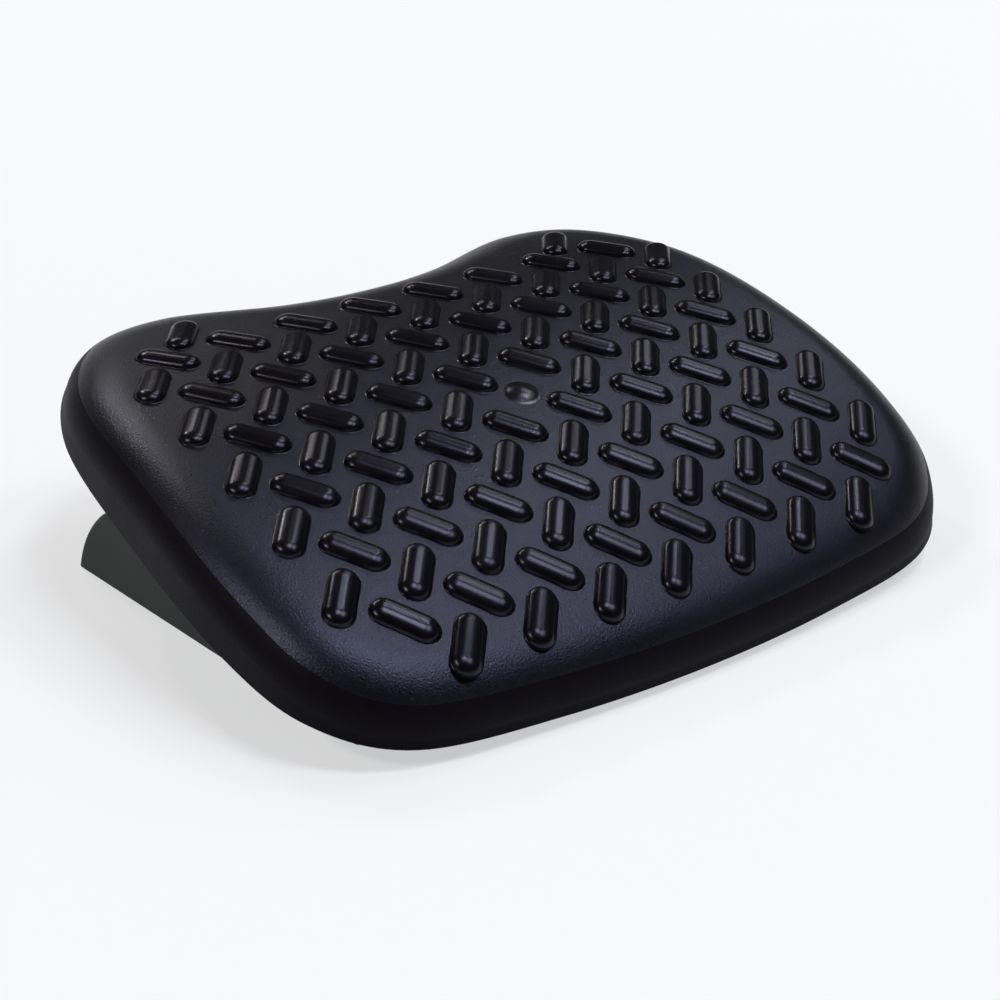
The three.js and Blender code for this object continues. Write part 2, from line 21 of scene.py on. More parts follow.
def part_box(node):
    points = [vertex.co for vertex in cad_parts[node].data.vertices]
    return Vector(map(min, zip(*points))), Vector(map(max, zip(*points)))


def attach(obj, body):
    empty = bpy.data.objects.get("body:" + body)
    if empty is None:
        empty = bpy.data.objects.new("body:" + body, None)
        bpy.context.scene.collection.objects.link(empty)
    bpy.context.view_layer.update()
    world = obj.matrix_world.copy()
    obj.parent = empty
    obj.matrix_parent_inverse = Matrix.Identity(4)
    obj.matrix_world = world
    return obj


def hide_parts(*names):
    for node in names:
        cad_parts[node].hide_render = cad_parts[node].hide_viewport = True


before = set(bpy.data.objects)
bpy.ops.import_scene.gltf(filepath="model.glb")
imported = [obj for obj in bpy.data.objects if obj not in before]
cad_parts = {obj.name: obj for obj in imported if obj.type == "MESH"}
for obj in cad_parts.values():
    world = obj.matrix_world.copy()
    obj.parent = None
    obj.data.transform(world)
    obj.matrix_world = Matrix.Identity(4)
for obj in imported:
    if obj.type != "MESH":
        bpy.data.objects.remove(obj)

log = logging.getLogger("footrest")

Material = bpy.types.Material
Socket = bpy.types.NodeSocket
Tree = bpy.types.NodeTree
Point = tuple[float, float]
Corner = tuple[float, float, float]
Ring = Sequence[Vector]

METRE = 1000.0
RIGHT_ANGLE = math.pi / 2
FULL_TURN = 2 * math.pi
# Where the middle of a quarter round lies from its corner, as a share of its radius
ROUND_SHARE = 0.3
# The rounding of a lug's and an ear's faces, and the number of faces across it
MOULD_EDGE = (0.8, 2)
# Corners nearer to each other than this, in millimetres, become one
WELD = 1e-4
# Stands what is turned about the X axis up along Z
UPRIGHT = Matrix.Rotation(-RIGHT_ANGLE, 4, "Y")


class Side(Enum):
    """The two sides of the footrest, as the sitter sees them."""

    LEFT = -1
    RIGHT = 1


class End(Enum):
    """The two ends of the footrest, front towards the sitter."""

    FRONT = -1
    BACK = 1


class Body(Enum):
    """The two bodies that the hinge joins."""

    BASE = "base_body"
    PLATFORM = "platform_body"


class Operation(Enum):
    """How one solid changes another."""

    JOIN = "UNION"
    CUT = "DIFFERENCE"
    KEEP = "INTERSECT"


class Ends(Enum):
    """How the two open ends of a stack of rings are closed."""

    FLAT = "each with a face"
    POINTED = "each drawn in to a point"
    JOINED = "joined to each other round a hollow"


# Finishes


def linear(colour: str) -> tuple[float, float, float, float]:
    """Turns an sRGB hex colour to the linear one that a shader takes.

    Args:
        colour: The colour as "#rrggbb".

    Returns:
        Red, green, blue and alpha.
    """
    parts = [int(colour[i:i + 2], 16) / 255 for i in (1, 3, 5)]
    return (*[p / 12.92 if p <= 0.04045 else ((p + 0.055) / 1.055) ** 2.4 for p in parts], 1.0)


def add_node(tree: Tree, kind: str, settings: dict | None = None,
             links: dict | None = None) -> bpy.types.Node:
    """Adds a node with its settings and links.

    Args:
        tree: The node tree.
        kind: The node's type.
        settings: Values by the name or number of an input, or by the name of a property.
        links: Source sockets by the name or number of an input.

    Returns:
        The node.
    """
    node = tree.nodes.new(kind)
    for key, value in (settings or {}).items():
        if isinstance(key, int) or key in node.inputs:
            node.inputs[key].default_value = value
        else:
            setattr(node, key, value)
    for key, source in (links or {}).items():
        tree.links.new(source, node.inputs[key])
    return node


def cleared(owner: Material | bpy.types.World) -> Tree:
    """Gives a material or a world an empty node tree.

    Args:
        owner: The material or the world.

    Returns:
        The tree.
    """
    owner.use_nodes = True
    owner.node_tree.nodes.clear()
    return owner.node_tree


@dataclass(frozen=True)
class Surface:
    """A finish: the real material's name, its slot in the record and two tones."""

    name: str
    slot: str
    colour: str
    worn_colour: str
    roughness: float

    def draw(self, tree: Tree, place: Socket) -> None:
        """Adds the finish's own nodes, looked up in Object coordinates."""
        raise NotImplementedError

    @cache
    def material(self) -> Material:
        """Builds the material when it is first asked for, and keeps it.

        Returns:
            The material.
        """
        material = bpy.data.materials.new(self.name)
        tree = cleared(material)
        self.draw(tree, add_node(tree, "ShaderNodeTexCoord").outputs["Object"])
        return material

    def shade(self, tree: Tree, cloud: Socket, rough: Socket, height: Socket, depth: float,
              strength: float, settings: dict) -> None:
        """Adds the relief, the tone, the shader and the output.

        Args:
            tree: The node tree.
            cloud: How worn the tone is, from 0 to 1.
            rough: The roughness.
            height: The relief, from 0 to 1.
            depth: The relief's depth in millimetres.
            strength: How strongly the relief turns the light.
            settings: The shader's other values.
        """
        bump = add_node(
            tree, "ShaderNodeBump", {"Strength": strength, "Distance": depth / METRE},
            {"Height": height},
        )
        tone = add_node(
            tree, "ShaderNodeMix",
            {"data_type": "RGBA", 6: linear(self.colour), 7: linear(self.worn_colour)}, {0: cloud},
        )
        shader = add_node(
            tree, "ShaderNodeBsdfPrincipled", settings,
            {"Base Color": tone.outputs[2], "Roughness": rough, "Normal": bump.outputs["Normal"]},
        )
        add_node(tree, "ShaderNodeOutputMaterial", links={"Surface": shader.outputs["BSDF"]})


@dataclass(frozen=True)
class Moulded(Surface):
    """Plastic, rubber or fibre, as its mould's surface left it.

    Real grain is 0.3 to 0.5 mm wide. It is drawn two or three times as coarse, to show at all.
    """

    roughness_spread: float
    grain: float
    grain_height: float
    cloud: float = 70.0
    ior: float = 1.49
    sheen_colour: str = "#ffffff"
    speckle: float = 0.0

    def draw(self, tree: Tree, place: Socket) -> None:
        """Adds grain in the height and the gloss, and slow clouds of wear.

        Args:
            tree: The node tree.
            place: The object's coordinates.
        """
        grain = add_node(
            tree, "ShaderNodeTexNoise",
            {"Scale": METRE / self.grain, "Detail": 3.0, "Roughness": 0.6}, {"Vector": place},
        ).outputs["Fac"]
        cloud = add_node(
            tree, "ShaderNodeTexNoise",
            {"Scale": METRE / self.cloud, "Detail": 4.0, "Roughness": 0.55}, {"Vector": place},
        ).outputs["Fac"]
        gloss = add_node(
            tree, "ShaderNodeMapRange",
            {"From Min": 0.3, "From Max": 0.7, "To Min": self.roughness - self.roughness_spread,
             "To Max": self.roughness + self.roughness_spread},
            {"Value": cloud},
        ).outputs["Result"]
        pits = add_node(
            tree, "ShaderNodeMapRange",
            {"From Min": 0.2, "From Max": 0.8, "To Min": self.speckle, "To Max": -self.speckle},
            {"Value": grain},
        ).outputs["Result"]
        rough = add_node(tree, "ShaderNodeMath", {"operation": "ADD"}, {0: gloss, 1: pits})
        settings = {"IOR": self.ior, "Specular Tint": linear(self.sheen_colour)}
        self.shade(tree, cloud, rough.outputs[0], grain, self.grain_height, 1.0, settings)


@dataclass(frozen=True)
class Metal(Surface):
    """Turned or plated metal with fine marks round its axis, which lies along X."""

    mark: float = 0.4
    mark_squeeze: Corner = (6.0, 1.0, 1.0)
    mark_depth: float = 0.02
    mark_strength: float = 0.4
    stain: float = 6.0
    gloss_spread: Point = (-0.08, 0.1)

    def draw(self, tree: Tree, place: Socket) -> None:
        """Adds turned marks in the height and a slow stain in the tone and the gloss.

        Args:
            tree: The node tree.
            place: The object's coordinates.
        """
        squeezed = add_node(
            tree, "ShaderNodeMapping", {"Scale": self.mark_squeeze}, {"Vector": place},
        )
        marks = add_node(
            tree, "ShaderNodeTexNoise", {"Scale": METRE / self.mark, "Detail": 2.0},
            {"Vector": squeezed.outputs["Vector"]},
        ).outputs["Fac"]
        stain = add_node(
            tree, "ShaderNodeTexNoise", {"Scale": METRE / self.stain, "Detail": 3.0},
            {"Vector": place},
        ).outputs["Fac"]
        low, high = self.gloss_spread
        rough = add_node(
            tree, "ShaderNodeMapRange",
            {"To Min": self.roughness + low, "To Max": self.roughness + high}, {"Value": stain},
        ).outputs["Result"]
        self.shade(
            tree, stain, rough, marks, self.mark_depth, self.mark_strength, {"Metallic": 1.0},
        )


class Finish(Enum):
    """The finishes of the footrest's pieces."""

    # Polypropylene from a sand-textured mould: near black, with a fine grain that breaks up
    # each highlight. The grain is drawn at 1.1 mm, and the real one is about 0.4 mm
    PLATFORM = Moulded(
        "sand_textured_black_polypropylene", "platform_plastic", "#08070a", "#0e0d12",
        0.33, 0.03, 1.1, 0.26, ior=1.44, sheen_colour="#cfd4ff", speckle=0.09,
    )
    # The side walls and the underside take a darker, duller copy of the platform's plastic,
    # so that they stay almost black at any angle: painted shade
    SHADED_WALLS = Moulded(
        "shaded_black_polypropylene", "platform_plastic", "#060408", "#0a070c",
        0.55, 0.04, 1.1, 0.16, ior=1.2, sheen_colour="#e2dcff", speckle=0.05,
    )
    # The raised bars come from smoother parts of the mould: darker, with soft highlights
    BARS = Moulded(
        "smooth_black_polypropylene", "platform_plastic", "#060407", "#0a080c",
        0.26, 0.03, 1.4, 0.03, ior=1.35, sheen_colour="#dedcff",
    )
    # The boss is the print of a polished pin: the glossiest place, with one bright spot
    BOSS = Moulded(
        "polished_black_polypropylene", "platform_plastic", "#070508", "#0b090d",
        0.27, 0.02, 1.4, 0.02, ior=1.5, sheen_colour="#e8e6ff",
    )
    # The base's flat cheeks have a satin face, a little greener and lighter than the platform
    BASE = Moulded(
        "satin_charcoal_polypropylene", "base_plastic", "#2e3433", "#383e3d",
        0.5, 0.05, 0.8, 0.03, ior=1.22,
    )
    # Solid black rubber, matt, with bloom on it
    RUBBER = Moulded(
        "black_moulded_rubber", "black_rubber", "#0e0e0e", "#1e1e1d",
        0.8, 0.08, 0.7, 0.05, 12.0, 1.52,
    )
    # Pressed brown fibre with a coarse, dry face
    FIBRE = Moulded(
        "pressed_brown_fibre", "friction_fibre", "#4f2b20", "#7a4634",
        0.85, 0.05, 0.6, 0.1, 5.0, 1.5,
    )
    # Zinc plated steel: bright, with a faint cloud from the plating bath
    STEEL = Metal("zinc_plated_steel", "zinc_steel", "#b9bbbd", "#8e9296", 0.32)
    # Sintered bronze: dull, oily and slightly porous
    BRONZE = Metal("sintered_bronze", "bush_bronze", "#9a7a45", "#6f5530", 0.48)


# Modelling


class Solid:
    """A closed mesh modelled with the edit mode's tools, in millimetres."""

    def __init__(self, name: str, ring: Ring) -> None:
        """Adds a circle and places its corners on a ring.

        Args:
            name: The object's name.
            ring: The corners of the first ring, in order.
        """
        bpy.ops.object.select_all(action="DESELECT")
        bpy.ops.mesh.primitive_circle_add(vertices=len(ring), fill_type="NOTHING")
        self.obj = bpy.context.object
        self.rename(name)
        bpy.ops.object.mode_set(mode="EDIT")
        mesh = bmesh.from_edit_mesh(self.obj.data)
        station = mesh.verts.layers.int.new("station")
        for vert in mesh.verts:
            vert[station] = vert.index
            vert.co = ring[vert.index]
        bmesh.update_edit_mesh(self.obj.data)

    def rename(self, name: str) -> None:
        """Names the object and its mesh."""
        self.obj.name = self.obj.data.name = name

    def extrude_ring(self, ring: Ring) -> None:
        """Extrudes the selected ring and places the new one.

        Args:
            ring: The corners of the new ring, in the first ring's order.
        """
        bpy.ops.mesh.extrude_edges_indiv()
        mesh = bmesh.from_edit_mesh(self.obj.data)
        station = mesh.verts.layers.int["station"]
        for vert in mesh.verts:
            if vert.select:
                vert.co = ring[vert[station]]
        bmesh.update_edit_mesh(self.obj.data)

    def select_open(self) -> None:
        """Selects the rings that are still open."""
        bpy.ops.mesh.select_all(action="DESELECT")
        bpy.ops.mesh.select_non_manifold()

    def activate(self) -> None:
        """Makes this the only selected object."""
        bpy.ops.object.select_all(action="DESELECT")
        self.obj.select_set(True)
        bpy.context.view_layer.objects.active = self.obj

    def enter(self, action: str) -> None:
        """Enters edit mode.

        Args:
            action: SELECT for everything selected, and DESELECT for nothing.
        """
        self.activate()
        bpy.ops.object.mode_set(mode="EDIT")
        bpy.ops.mesh.select_all(action=action)

    def leave(self) -> None:
        """Leaves edit mode with nothing selected."""
        bpy.ops.mesh.select_all(action="DESELECT")
        bpy.ops.object.mode_set(mode="OBJECT")

    def bevel(self, test: Callable[[Vector], bool], width: float, steps: int) -> None:
        """Rounds the edges that pass a test.

        Args:
            test: Tells from an edge's run whether it is rounded.
            width: The rounding's reach in millimetres.
            steps: The number of faces across it.
        """
        self.enter("DESELECT")
        mesh = bmesh.from_edit_mesh(self.obj.data)
        for edge in mesh.edges:
            if test(edge.verts[0].co - edge.verts[1].co):
                edge.select_set(True)
        bmesh.update_edit_mesh(self.obj.data)
        bpy.ops.mesh.bevel(offset=width, segments=steps, affect="EDGES", clamp_overlap=True)
        self.leave()

    def cut_below(self, height: float) -> None:
        """Cuts off what lies below a height and closes the cut.

        Args:
            height: The height of the level cut in millimetres.
        """
        self.enter("SELECT")
        bpy.ops.mesh.bisect(
            plane_co=(0, 0, height), plane_no=(0, 0, 1), use_fill=True, clear_inner=True,
        )
        self.leave()

    def move(self, place: Matrix) -> "Solid":
        """Moves the mesh inside its object.

        Args:
            place: The matrix that its corners are multiplied by.

        Returns:
            The solid itself.
        """
        self.obj.data.transform(place)
        return self

    def copy(self, name: str) -> "Solid":
        """Copies the solid with a mesh of its own.

        Args:
            name: The copy's name.

        Returns:
            The copy.
        """
        twin = object.__new__(Solid)
        twin.obj = self.obj.copy()
        twin.obj.data = self.obj.data.copy()
        twin.rename(name)
        bpy.context.scene.collection.objects.link(twin.obj)
        return twin

    def remove(self) -> None:
        """Takes the solid out of the file."""
        bpy.data.objects.remove(self.obj)

    def change(self, tool: "Solid", operation: Operation) -> "Solid":
        """Joins, cuts or trims with another solid, which is used up.

        Args:
            tool: The other solid.
            operation: What the other solid does.

        Returns:
            The solid itself.
        """
        self.activate()
        modifier = self.obj.modifiers.new("change", "BOOLEAN")
        modifier.object = tool.obj
        modifier.operation = operation.value
        modifier.solver = "EXACT"
        bpy.ops.object.modifier_apply(modifier=modifier.name)
        tool.remove()
        return self

    def merge_in(self, others: Sequence["Solid"]) -> "Solid":
        """Puts other solids' meshes into this object as they are.

        Args:
            others: The solids that become part of this one.

        Returns:
            The solid itself.
        """
        self.activate()
        for other in others:
            other.obj.select_set(True)
        bpy.ops.object.join()
        return self

    def finish(self, place: Matrix, body: Body, dress: Finish, *nodes: str,
               angle: float = 35.0) -> bpy.types.Object:
        """Places the piece, smooths it and hands it to its body.

        Args:
            place: From the piece's own frame in millimetres to the footrest's in metres.
            body: The body that it rides on.
            dress: Its finish.
            nodes: The nodes that it stands for.
            angle: Edges flatter than this, in degrees, are smooth.

        Returns:
            The finished object.
        """
        self.move(place)
        self.activate()
        bpy.ops.object.shade_smooth_by_angle(angle=math.radians(angle))
        modifier = self.obj.modifiers.new("normals", "WEIGHTED_NORMAL")
        modifier.keep_sharp = True
        bpy.ops.object.modifier_apply(modifier=modifier.name)
        self.obj.data.materials.clear()
        self.obj.data.materials.append(dress.value.material())
        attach(self.obj, body.value)
        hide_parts(*nodes)
        log.info("%s: %d faces on %s", self.obj.name, len(self.obj.data.polygons), body.value)
        return self.obj


def shift(x: float = 0.0, y: float = 0.0, z: float = 0.0) -> Matrix:
    """The matrix of a move."""
    return Matrix.Translation((x, y, z))


def stacked(name: str, rings: Sequence[Ring], ends: Ends = Ends.FLAT) -> Solid:
    """Extrudes a solid ring by ring and closes it, with its faces turned outwards.

    Args:
        name: The object's name.
        rings: Its rings in order, each with as many corners.
        ends: How its ends are closed.

    Returns:
        The solid.
    """
    solid = Solid(name, rings[0])
    for ring in rings[1:]:
        solid.extrude_ring(ring)
    if ends is Ends.JOINED:
        solid.select_open()
        bpy.ops.mesh.bridge_edge_loops()
    else:
        # The last ring is still selected, and then the first one is the only one open
        for _ in range(2):
            if ends is Ends.FLAT:
                bpy.ops.mesh.edge_face_add()
            else:
                bpy.ops.mesh.merge(type="CENTER")
            solid.select_open()
    bpy.ops.mesh.select_all(action="SELECT")
    bpy.ops.mesh.remove_doubles(threshold=WELD)
    bpy.ops.mesh.normals_make_consistent(inside=False)
    solid.leave()
    return solid


def slab(name: str, outline: Sequence[Point], middle: float, width: float,
         edge: tuple[float, int] | None = None) -> Solid:
    """Extrudes an outline drawn in Y and Z along X.

    Args:
        name: The object's name.
        outline: Its corners as Y and Z in millimetres.
        middle: The X of its middle.
        width: Its width along X.
        edge: The rounding round both of its faces, and the number of faces across that.

    Returns:
        The slab.
    """
    places = (middle - width / 2, middle + width / 2)
    solid = stacked(name, [[Vector((x, y, z)) for y, z in outline] for x in places])
    if edge:
        solid.bevel(lambda run: abs(run.x) < width / 2, *edge)
    return solid


def block(name: str, low: Corner, high: Corner) -> Solid:
    """Makes a block between two corners.

    Args:
        name: The object's name.
        low: Its lowest corner in millimetres.
        high: Its highest corner.

    Returns:
        The block.
    """
    (left, front, bottom), (right, back, top) = low, high
    outline = [(front, bottom), (back, bottom), (back, top), (front, top)]
    return slab(name, outline, (left + right) / 2, right - left)


def turned(name: str, profile: Sequence[Point], steps: int = 48, sides: int = 0,
           ends: Ends = Ends.FLAT) -> Solid:
    """Turns a profile about the X axis.

    Args:
        name: The object's name.
        profile: Points as radius and X in millimetres, in order along the section.
        steps: The number of faces round it.
        sides: Where it isn't zero, radii are held inside a regular outline of so many flats.
        ends: How its ends are closed.

    Returns:
        The turned solid.
    """
    corner = max(radius for radius, _ in profile)

    def reach(radius: float, angle: float) -> float:
        """Holds a radius inside the flats.

        Args:
            radius: The radius in millimetres.
            angle: Its direction in radians.

        Returns:
            The radius that is left.
        """
        half = math.pi / sides
        off = (angle + half) % (2 * half) - half
        return min(radius, corner * math.cos(half) / math.cos(off))

    rings = []
    for radius, x in profile:
        spokes = [(reach(radius, a) if sides else radius, a) for a in round_turn(steps)]
        rings.append([Vector((x, r * math.cos(a), r * math.sin(a))) for r, a in spokes])
    return stacked(name, rings, ends)


def rod(name: str, radius: float, low: float, high: float) -> Solid:
    """Makes a plain rod between two places along X."""
    return turned(name, [(radius, low), (radius, high)])


def round_turn(steps: int) -> list[float]:
    """The angles of equal steps round a full turn."""
    return [FULL_TURN * i / steps for i in range(steps)]


def arc(centre: Point, radius: float, start: float, end: float, steps: int) -> list[Point]:
    """Points on an arc.

    Args:
        centre: Its centre as Y and Z.
        radius: Its radius in millimetres.
        start: Its first angle in radians, from +Y towards +Z.
        end: Its last angle.
        steps: The number of stretches that it is cut into.

    Returns:
        Its points as Y and Z.
    """
    angles = [start + (end - start) * i / steps for i in range(steps + 1)]
    return [(centre[0] + radius * math.cos(a), centre[1] + radius * math.sin(a)) for a in angles]


# Layout


@dataclass
class Layout:
    """How the platform and the base stand on the hinge's axis, and the sizes they share."""

    platform_width: float = 450.0
    pod_inset: float = 34.0
    pod_width: float = 48.0
    pod_toe_in: float = math.radians(4.9)
    pivot_drop: float = 31.0
    pivot_back: float = 7.0
    rest_tilt: float = math.radians(15.2)
    clearance: float = 0.3
    ear_thickness: float = 10.0
    lug_thickness: float = 7.0
    lug_radius: float = 11.0
    lug_offset: float = 10.6
    hinge: Vector = field(init=False)

    def __post_init__(self) -> None:
        """Takes the axis from the bush that turns on it."""
        low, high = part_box("left_pivot_bush")
        middle = (low + high) / 2 * METRE
        self.hinge = Vector((0, middle.y, middle.z))

    def level(self, x: float = 0.0) -> Matrix:
        """From a frame on the floor below the hinge, at X, to the footrest's."""
        return Matrix.Scale(1 / METRE, 4) @ shift(x, self.hinge.y)

    def tilted(self, x: float, y: float, z: float) -> Matrix:
        """From a frame that lies so far from the hinge and tilts with the platform."""
        turn = shift(*self.hinge) @ Matrix.Rotation(self.rest_tilt, 4, "X")
        return Matrix.Scale(1 / METRE, 4) @ turn @ shift(x, y, z)

    def platform(self) -> Matrix:
        """From the platform's level frame, on the middle of its top, to the footrest's."""
        return self.tilted(0, -self.pivot_back, self.pivot_drop)

    def pod_outer(self) -> float:
        """How far a pod's outer face lies from the middle, at the hinge."""
        return self.platform_width / 2 - self.pod_inset

    def pod_middle(self, side: Side) -> float:
        """The X of a pod's middle, which is also its ear's, its pads' and its hinge's."""
        return side.value * (self.pod_outer() - self.pod_width / 2 / math.cos(self.pod_toe_in))


# Platform


@dataclass
class Platform:
    """The crowned, waisted moulded shell with its ribs, its hinge lugs and its tread."""

    layout: Layout
    depth: float = 363.0
    wall: float = 3.0
    crown_radius: float = 574.0
    cross_crown_radius: float = 12700.0
    rim_run: float = 31.0
    rim_drop: float = 25.8
    skirt_depth: float = 43.1
    skirt_lip: float = 4.3
    skirt_draft: float = 1.4
    skirt_sag_share: float = 0.35
    outline_shares: tuple[Point, ...] = (
        (0, -0.483), (0.2, -0.472), (0.375, -0.438), (0.462, -0.344), (0.494, -0.197),
        (0.498, 0.022), (0.4745, 0.2975), (0.39, 0.472), (0.269, 0.516), (0.113, 0.4565),
        (0, 0.441),
    )
    lip_round: float = 1.0
    rib_thickness: float = 2.5
    rib_depth: float = 12.0
    rib_pitch: float = 43.2
    rib_places: tuple[float, ...] = (0.5, 1.5, 2.5, 4.5)
    rib_steps: int = 24
    cross_rib_offset: float = 75.0
    lug_reach: float = 53.0
    lug_steps: int = 8
    back_tilt: float = math.radians(14.8)
    bore: float = 4.3
    overrun: float = 10.0
    # How small the space inside ends below the skirt
    room_tip_share: float = 0.02
    stations: int = 240
    crown_rings: int = 26
    rim_rings: int = 18
    # How far in from the outline the side walls' painted shade, a darker copy, reaches on the rim
    wall_band: float = 7.2
    edge_samples: int = 1920
    knots: Ring = field(init=False)

    def __post_init__(self) -> None:
        """Keeps the points that the outline passes, all the way round."""
        wide = self.layout.platform_width - 2 * self.skirt_draft
        half = [Vector((x * wide, y * self.depth, 0)) for x, y in self.outline_shares]
        self.knots = half + [Vector((-p.x, p.y, 0)) for p in reversed(half[1:-1])]

    def crown(self, x: float, y: float) -> float:
        """The height of the crowned top at a place."""
        return -y ** 2 / (2 * self.crown_radius) - x ** 2 / (2 * self.cross_crown_radius)

    def skirt_edge(self, y: float) -> float:
        """The height of the skirt's lower edge at a Y."""
        return -self.skirt_depth - self.skirt_sag_share * y ** 2 / (2 * self.crown_radius)

    def outline(self, u: float, inset: float) -> Vector:
        """A point of the outline, moved inwards square to it.

        Args:
            u: How far round it is, from 0 to 1.
            inset: How far inwards it is moved, in millimetres.

        Returns:
            The point, at height 0.
        """
        count = len(self.knots)
        along = (u % 1.0) * count
        first = int(along)
        t = along - first
        a, b, c, d = (self.knots[(first + i) % count] for i in (-1, 0, 1, 2))
        start, end = (c - a) / 2, (d - b) / 2
        point = (
            (2 * t ** 3 - 3 * t ** 2 + 1) * b + (t ** 3 - 2 * t ** 2 + t) * start
            + (3 * t ** 2 - 2 * t ** 3) * c + (t ** 3 - t ** 2) * end
        )
        slope = (
            (6 * t ** 2 - 6 * t) * b + (3 * t ** 2 - 4 * t + 1) * start
            + (6 * t - 6 * t ** 2) * c + (3 * t ** 2 - 2 * t) * end
        ).normalized()
        return point + inset * Vector((-slope.y, slope.x, 0))

    def around(self, inset: float) -> Ring:
        """The outline's points at all stations, moved inwards."""
        return [self.outline(i / self.stations, inset) for i in range(self.stations)]

    def rim_ring(self, angle: float, wall: float) -> Ring:
        """A ring over the rim's rounding, which is a quarter ellipse.

        Args:
            angle: 0 where the rim leaves the crown, a right angle where it meets the skirt.
            wall: The depth below the outer face.

        Returns:
            The ring's points.
        """
        inset = wall + (self.rim_run - wall) * (1 - math.sin(angle))
        ring = []
        for place, edge in zip(self.around(inset), self.around(0)):
            room = self.crown(edge.x, edge.y) - self.skirt_edge(edge.y) - self.skirt_lip
            drop = min(self.rim_drop, room) - wall
            height = self.crown(place.x, place.y) - wall - drop * (1 - math.cos(angle))
            ring.append(Vector((place.x, place.y, height)))
        return ring

    def crown_ring(self, share: float, wall: float) -> Ring:
        """A ring on the crown, drawn in from the rim's start towards the middle."""
        places = [place * share for place in self.around(self.rim_run)]
        return [Vector((p.x, p.y, self.crown(p.x, p.y) - wall)) for p in places]

    def skirt_ring(self, inset: float, lift: float) -> Ring:
        """A ring on the skirt, lifted above its lower edge."""
        pairs = zip(self.around(inset), self.around(0))
        return [Vector((p.x, p.y, self.skirt_edge(edge.y) + lift)) for p, edge in pairs]

    def upper_rings(self, wall: float) -> list[Ring]:
        """The rings from the middle of the crown over the rim.

        Args:
            wall: Their depth below the outer face.

        Returns:
            The rings, from the middle outwards.
        """
        crown, rim = self.crown_rings, self.rim_rings
        rings = [self.crown_ring((i + 1) / crown, wall) for i in range(crown)]
        return rings + [self.rim_ring(RIGHT_ANGLE * (i + 1) / rim, wall) for i in range(rim)]

    def shell(self) -> Solid:
        """Models the crown, the rim, the skirt and the inner side, as one closed wall.

        Returns:
            The shell.
        """
        outer, inner = -self.skirt_draft, self.wall - self.skirt_draft
        edge = self.lip_round
        bend = ROUND_SHARE * edge
        lip = [
            (outer, edge), (outer + bend, bend), (outer + edge, 0),
            (inner - edge, 0), (inner - bend, bend), (inner, edge),
        ]
        rings = self.upper_rings(0) + [self.skirt_ring(*place) for place in lip]
        return stacked("platform_shell", rings + self.upper_rings(self.wall)[::-1], Ends.POINTED)

    def room(self) -> Solid:
        """Models the space inside the shell, up to the middle of its wall.

        Returns:
            The space, to trim with.
        """
        middle, share = self.wall / 2, self.room_tip_share
        rings = self.upper_rings(middle) + [self.skirt_ring(middle - self.skirt_draft, 0)]
        rings.append([Vector((p.x * share, p.y * share, -self.skirt_depth)) for p in rings[-1]])
        return stacked("room", rings, Ends.POINTED)

    def length_rib(self, x: float) -> Solid:
        """Models a rib from front to back whose lower edge runs beside the crown.

        Args:
            x: The place of its middle.

        Returns:
            The rib, longer and higher than the space inside the shell.
        """
        end, steps = self.depth / 2 + self.overrun, self.rib_steps
        places = [end * (2 * i / steps - 1) for i in range(steps + 1)]
        outline = [(y, self.crown(0, y) - self.wall - self.rib_depth) for y in places]
        outline += [(end, self.overrun), (-end, self.overrun)]
        return slab("rib", outline, x, self.rib_thickness)

    def cross_rib(self, y: float) -> Solid:
        """Models a level rib from side to side.

        Args:
            y: The place of its middle.

        Returns:
            The rib, as wide as the platform.
        """
        half, reach = self.rib_thickness / 2, self.layout.platform_width / 2
        low = self.crown(0, y) - self.wall - self.rib_depth
        return block("rib", (-reach, y - half, low), (reach, y + half, self.overrun))

    def lug(self, x: float) -> Solid:
        """Models a lug with a shallow V below, whose flanks rest on the stop pads in turn.

        Args:
            x: The place of its middle.

        Returns:
            The lug with its bore.
        """
        back, drop = self.layout.pivot_back, self.layout.pivot_drop
        radius, thick = self.layout.lug_radius, self.layout.lug_thickness

        def flank(end: End, tilt: float) -> Point:
            """Places the outer end of a flank.

            Args:
                end: The end that it faces.
                tilt: The platform's tilt at which it lies level, in radians.

            Returns:
                The end as Y and Z.
            """
            return (
                back + end.value * (radius * math.sin(tilt) + self.lug_reach * math.cos(tilt)),
                -drop - radius * math.cos(tilt) + self.lug_reach * math.sin(tilt),
            )

        front_tilt, back_tilt = self.layout.rest_tilt, self.back_tilt
        front, rear = flank(End.FRONT, front_tilt), flank(End.BACK, back_tilt)
        down = 3 * RIGHT_ANGLE
        outline = [(front[0], 0), front]
        outline += arc((back, -drop), radius, down - front_tilt, down + back_tilt, self.lug_steps)
        outline += [rear, (rear[0], 0)]
        bore = rod("bore", self.bore, x - thick, x + thick).move(shift(0, back, -drop))
        return slab("lug", outline, x, thick, MOULD_EDGE).change(bore, Operation.CUT)

    def inside(self) -> list[Solid]:
        """Models the ribs and lugs, trimmed to the space inside the shell.

        Returns:
            The trimmed pieces.
        """
        layout, reach = self.layout, self.cross_rib_offset
        pieces = [self.cross_rib(layout.pivot_back + end.value * reach) for end in End]
        for side in Side:
            for place in self.rib_places:
                pieces.append(self.length_rib(side.value * place * self.rib_pitch))
            for hand in Side:
                middle = layout.pod_middle(side) + hand.value * layout.lug_offset
                pieces.append(self.lug(middle))
        room = self.room()
        trimmed = [piece.change(room.copy("room"), Operation.KEEP) for piece in pieces]
        room.remove()
        return trimmed

